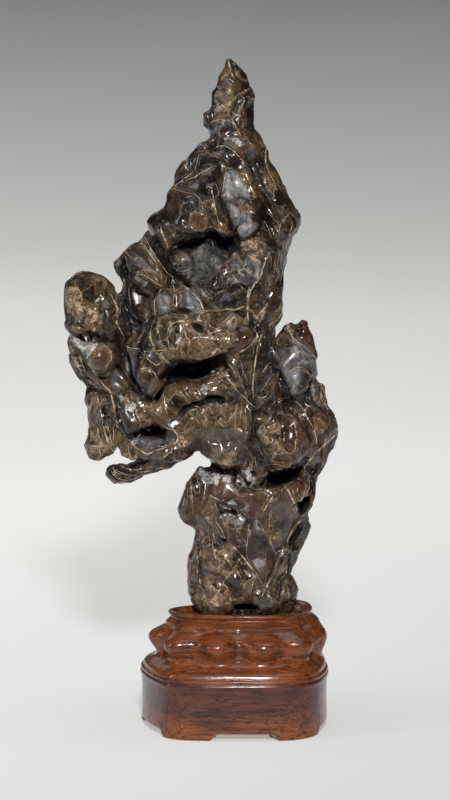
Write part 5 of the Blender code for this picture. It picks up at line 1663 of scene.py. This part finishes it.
def floor_paper(settings):
    """Matt pale paper with a soft glow of its own, and painted light: darker with the distance from the stand
    and at the very front, lighter to the left, its shadows tinted warm.
    """
    n = Nodes("floor_paper")
    split = n.add("ShaderNodeSeparateXYZ")
    n.join(n.place, split.inputs[0])
    x, y = split.outputs["X"], split.outputs["Y"]
    # Painted light falloff: the paper darkens with the distance from the stand, at the very front, and
    # towards the right.
    out = n.math("POWER", n.total(n.product(x, x), n.product(y, y)), 0.5)
    past = n.most(n.less(out, settings.fade_start), 0.0)
    fade = n.math("DIVIDE", settings.fade_reach, n.total(past, settings.fade_reach))
    fade = n.mix_value(fade, settings.fade_low, 1.0)
    near = n.span(y, *settings.front_fade, settings.front_share, 1.0, smooth=False)
    aside = n.math("DIVIDE", x, n.total(out, settings.side_reach))
    across = n.span(aside, -0.1, 0.1, 1 + settings.side_fade, 1 - settings.side_fade, smooth=False)
    colour = n.mix(n.product(fade, near, across), settings.dim, settings.paper)
    # Painted warm shadows: the lamps' light is tinted cooler and the glow warmer.
    lit = n.mix(1.0, colour, settings.lit_tint, "MULTIPLY")
    tint = n.mix(n.span(out, *settings.tint_span), settings.glow_tint, settings.far_tint)
    own = n.mix(1.0, colour, tint, "MULTIPLY")
    return n.surface(
        Base_Color=lit, Roughness=0.8, Specular_IOR_Level=0.1,
        Emission_Color=own, Emission_Strength=settings.glow,
    )


def add_light(name, place, size, power, colour):
    data = bpy.data.lights.new(name, "AREA")
    data.shape = "RECTANGLE"
    data.size, data.size_y = size
    data.energy = power
    data.color = colour
    lamp = bpy.data.objects.new(name, data)
    bpy.context.scene.collection.objects.link(lamp)
    lamp.visible_camera = False
    lamp.location = place
    lamp.rotation_mode = "QUATERNION"
    lamp.rotation_quaternion = (Vector(place) - Vector(LAMP_AIM)).to_track_quat("Z", "Y")


def camera_axes(settings):
    """The camera's place, and its axes away from the target and up."""
    pitch = math.radians(settings.camera_pitch)
    back = Vector((0, -math.cos(pitch), math.sin(pitch)))
    up = Vector((0, math.sin(pitch), math.cos(pitch)))
    return Vector(settings.camera_target) + back * settings.camera_distance, back, up


def add_camera(settings):
    data = bpy.data.cameras.new("camera")
    data.lens = LENS
    data.sensor_width = SENSOR
    data.clip_start, data.clip_end = 0.05, 50
    camera = bpy.data.objects.new("camera", data)
    bpy.context.scene.collection.objects.link(camera)
    camera.location, back, _ = camera_axes(settings)
    camera.rotation_mode = "QUATERNION"
    camera.rotation_quaternion = (-back).to_track_quat("-Z", "Y")
    bpy.context.scene.camera = camera


# ---------------------------------------------------------------- settings, operators and panel
def colour_prop(name, text, value, most=1):
    return bpy.props.FloatVectorProperty(
        name=name, description=text, subtype="COLOR", size=4, min=0, max=most, default=(*value, 1)
    )


class RockSettings(bpy.types.PropertyGroup):
    voxel: bpy.props.FloatProperty(
        name="Voxel", description="Size of the skin's voxels", unit="LENGTH", default=0.0009, min=0.0005)
    smoothing: bpy.props.IntProperty(
        name="Smoothing", description="Rounds that ease the solid's facets", default=7, min=0)
    relief: bpy.props.FloatProperty(
        name="Relief", description="Strength of the carved relief", subtype="FACTOR", default=1.0, min=0,
        max=2)
    most_triangles: bpy.props.IntProperty(
        name="Most triangles", description="Upper bound of the skin's triangles", default=194000, min=1000)
    dark: colour_prop("Dark", "Darkest ground of the stone", (0.013, 0.009, 0.006))
    brown: colour_prop("Brown", "Brown ground of the stone", (0.06, 0.036, 0.02))
    olive: colour_prop("Olive", "Olive amber plates", (0.126, 0.081, 0.041))
    umber: colour_prop("Umber", "Dark olive of the smoothest faces", (0.021, 0.0145, 0.0085))
    slate: colour_prop("Slate", "Bluish grey of the polished faces", (0.03, 0.031, 0.033))
    pale_slate: colour_prop("Pale slate", "Lightest grey of the polished faces", (0.1, 0.102, 0.104))
    # Painted sheen: the pale grey painted on a few faces for their reflection.
    painted_sheen: colour_prop("Gleam", "Silvery sheen of a few faces", (0.24, 0.24, 0.235))
    ochre: colour_prop("Ochre", "Orange-brown polished patches", (0.115, 0.062, 0.026))
    heart: colour_prop("Heart", "Dark middle of the orange-brown patches", (0.07, 0.031, 0.017))
    red: colour_prop("Red", "Red-brown polished patches", (0.07, 0.026, 0.017))
    tan: colour_prop("Tan", "Tan patches and rims", (0.24, 0.17, 0.095))
    crust: colour_prop("Crust", "Pinkish crust in the hollows", (0.43, 0.285, 0.175))
    calcite: colour_prop("Calcite", "White crystals", (0.56, 0.56, 0.52))
    vein: colour_prop("Vein", "Pale veins", (0.7, 0.57, 0.41))
    gold: colour_prop("Gold", "Golden rims of the plates", (0.24, 0.145, 0.055))


class StandSettings(bpy.types.PropertyGroup):
    around: bpy.props.IntProperty(
        name="Around", description="Points around each ring", default=420, min=60)
    dark: colour_prop("Dark", "Dark streaks of the wood", (0.036, 0.0095, 0.0045))
    warm: colour_prop("Warm", "Warm red-brown of the wood", (0.205, 0.055, 0.0135))
    purple: colour_prop("Purple", "Cooler zones of the wood", (0.1, 0.027, 0.016))
    pore: colour_prop("Pore", "Pores of the wood", (0.012, 0.005, 0.004))


class StageSettings(bpy.types.PropertyGroup):
    floor_reach: bpy.props.FloatProperty(
        name="Floor reach", description="How far the floor goes on every side", unit="LENGTH", default=30)
    apron: bpy.props.FloatProperty(
        name="Apron", description="Depth before which the floor throws no light on the rock", unit="LENGTH",
        default=-0.3)
    # The fades and tints below are painted light on the paper: darker with distance and at the front, lighter
    # to the left, and warmer in its shadows.
    fade_start: bpy.props.FloatProperty(
        name="Fade start", description="Where the floor starts to darken", unit="LENGTH", default=2.0)
    fade_reach: bpy.props.FloatProperty(
        name="Fade reach", description="How far on the floor loses half its brightness", unit="LENGTH",
        default=4.4)
    fade_low: bpy.props.FloatProperty(
        name="Fade low", description="Share of the brightness that the farthest floor keeps", default=0.2)
    front_fade: bpy.props.FloatVectorProperty(
        name="Front fade", description="Where the floor's front fade ends and starts", unit="LENGTH", size=2,
        default=(-0.2, 0.9))
    front_share: bpy.props.FloatProperty(
        name="Front share", description="How bright the very front of the floor stays", default=0.63)
    side_fade: bpy.props.FloatProperty(
        name="Side fade", description="How much brighter the left edge is than the middle", default=0.06)
    side_reach: bpy.props.FloatProperty(
        name="Side reach", description="How far out the side fade reaches half its spread", unit="LENGTH",
        default=2.0)
    glow: bpy.props.FloatProperty(
        name="Glow", description="How strongly the paper glows by itself", default=0.75)
    paper: colour_prop("Paper", "Pale paper of the floor", (0.716, 0.72, 0.687))
    dim: colour_prop("Dim", "What the paper darkens to", (0.0, 0.004, 0.014))
    lit_tint: colour_prop("Lit tint", "Cooler tint of the lamps' light on the paper", (0.97, 1.03, 1.16), 2)
    glow_tint: colour_prop("Glow tint", "Warmer tint of the paper's own glow", (1.0, 0.96, 0.9))
    far_tint: colour_prop("Far tint", "Cooler tint of the farthest paper", (0.985, 1.0, 1.0))
    tint_span: bpy.props.FloatVectorProperty(
        name="Tint span", description="Where the paper's tint starts and stops changing", unit="LENGTH",
        size=2, default=(0.6, 5.0))
    camera_pitch: bpy.props.FloatProperty(
        name="Camera pitch", description="How far the camera looks down, in degrees", default=CAMERA_PITCH)
    camera_distance: bpy.props.FloatProperty(
        name="Camera distance", description="From the camera to its target", unit="LENGTH", default=2.0)
    camera_target: bpy.props.FloatVectorProperty(
        name="Camera target", description="The point that the camera looks at", unit="LENGTH", size=3,
        default=(0.0140, 0.0030, 0.198))


class SCHOLARSROCK_OT_rock(bpy.types.Operator):
    """Skin, carve and polish the rock"""

    bl_idname = "scholars_rock.rock"
    bl_label = "Rock"

    def execute(self, context):
        settings = context.scene.scholars_rock
        stage = context.scene.scholars_stage
        lines, patches = lay_on_face(LINES, stage), lay_on_face(PATCHES, stage)
        piece = rock_skin(settings)
        carve(piece, settings, lines, patches)
        thin_out(piece, settings)
        mark(piece, lines, patches)
        piece.data.materials.clear()
        piece.data.materials.append(polished_stone(settings))
        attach(piece, "root")
        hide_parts("rock")
        return {"FINISHED"}


class SCHOLARSROCK_OT_stand(bpy.types.Operator):
    """Loft the stand and give it its wood"""

    bl_idname = "scholars_rock.stand"
    bl_label = "Stand"

    def execute(self, context):
        settings = context.scene.scholars_stand
        piece = link_mesh("stand_wood", stand_wood_mesh(settings))
        piece.data.shade_smooth()
        piece.data.materials.append(rosewood(settings))
        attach(piece, "root")
        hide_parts("stand")
        return {"FINISHED"}


class SCHOLARSROCK_OT_stage(bpy.types.Operator):
    """Set up the floor, the lights and the camera"""

    bl_idname = "scholars_rock.stage"
    bl_label = "Stage"

    def execute(self, context):
        settings = context.scene.scholars_stage
        paper = floor_paper(settings)
        reach = settings.floor_reach
        floor = link_mesh("studio_floor", floor_sheet("studio_floor", settings.apron, reach, settings))
        apron = link_mesh("studio_apron", floor_sheet("studio_apron", -reach, settings.apron, settings))
        apron.visible_diffuse = apron.visible_glossy = False
        for sheet in (floor, apron):
            sheet.data.materials.append(paper)
        world = bpy.data.worlds.new("studio")
        world.use_nodes = True
        background = world.node_tree.nodes["Background"]
        background.inputs["Color"].default_value = AIR_COLOUR
        background.inputs["Strength"].default_value = AIR_STRENGTH
        context.scene.world = world
        for lamp in LAMPS:
            add_light(*lamp)
        context.scene.view_settings.view_transform = "Standard"
        add_camera(settings)
        return {"FINISHED"}


class SCHOLARSROCK_PT_panel(bpy.types.Panel):
    bl_label = "Scholar's Rock"
    bl_space_type = "VIEW_3D"
    bl_region_type = "UI"
    bl_category = "Scholar's Rock"

    def draw(self, context):
        for kind in OPERATORS:
            self.layout.operator(kind.bl_idname)


OPERATORS = (SCHOLARSROCK_OT_rock, SCHOLARSROCK_OT_stand, SCHOLARSROCK_OT_stage)
CLASSES = (RockSettings, StandSettings, StageSettings, *OPERATORS, SCHOLARSROCK_PT_panel)


def register():
    for kind in CLASSES:
        bpy.utils.register_class(kind)
    bpy.types.Scene.scholars_rock = bpy.props.PointerProperty(type=RockSettings)
    bpy.types.Scene.scholars_stand = bpy.props.PointerProperty(type=StandSettings)
    bpy.types.Scene.scholars_stage = bpy.props.PointerProperty(type=StageSettings)


def unregister():
    for name in ("scholars_stage", "scholars_stand", "scholars_rock"):
        delattr(bpy.types.Scene, name)
    for kind in reversed(CLASSES):
        bpy.utils.unregister_class(kind)


def main():
    register()
    bpy.ops.scholars_rock.stage()
    bpy.ops.scholars_rock.stand()
    bpy.ops.scholars_rock.rock()


if __name__ == "__main__":
    main()
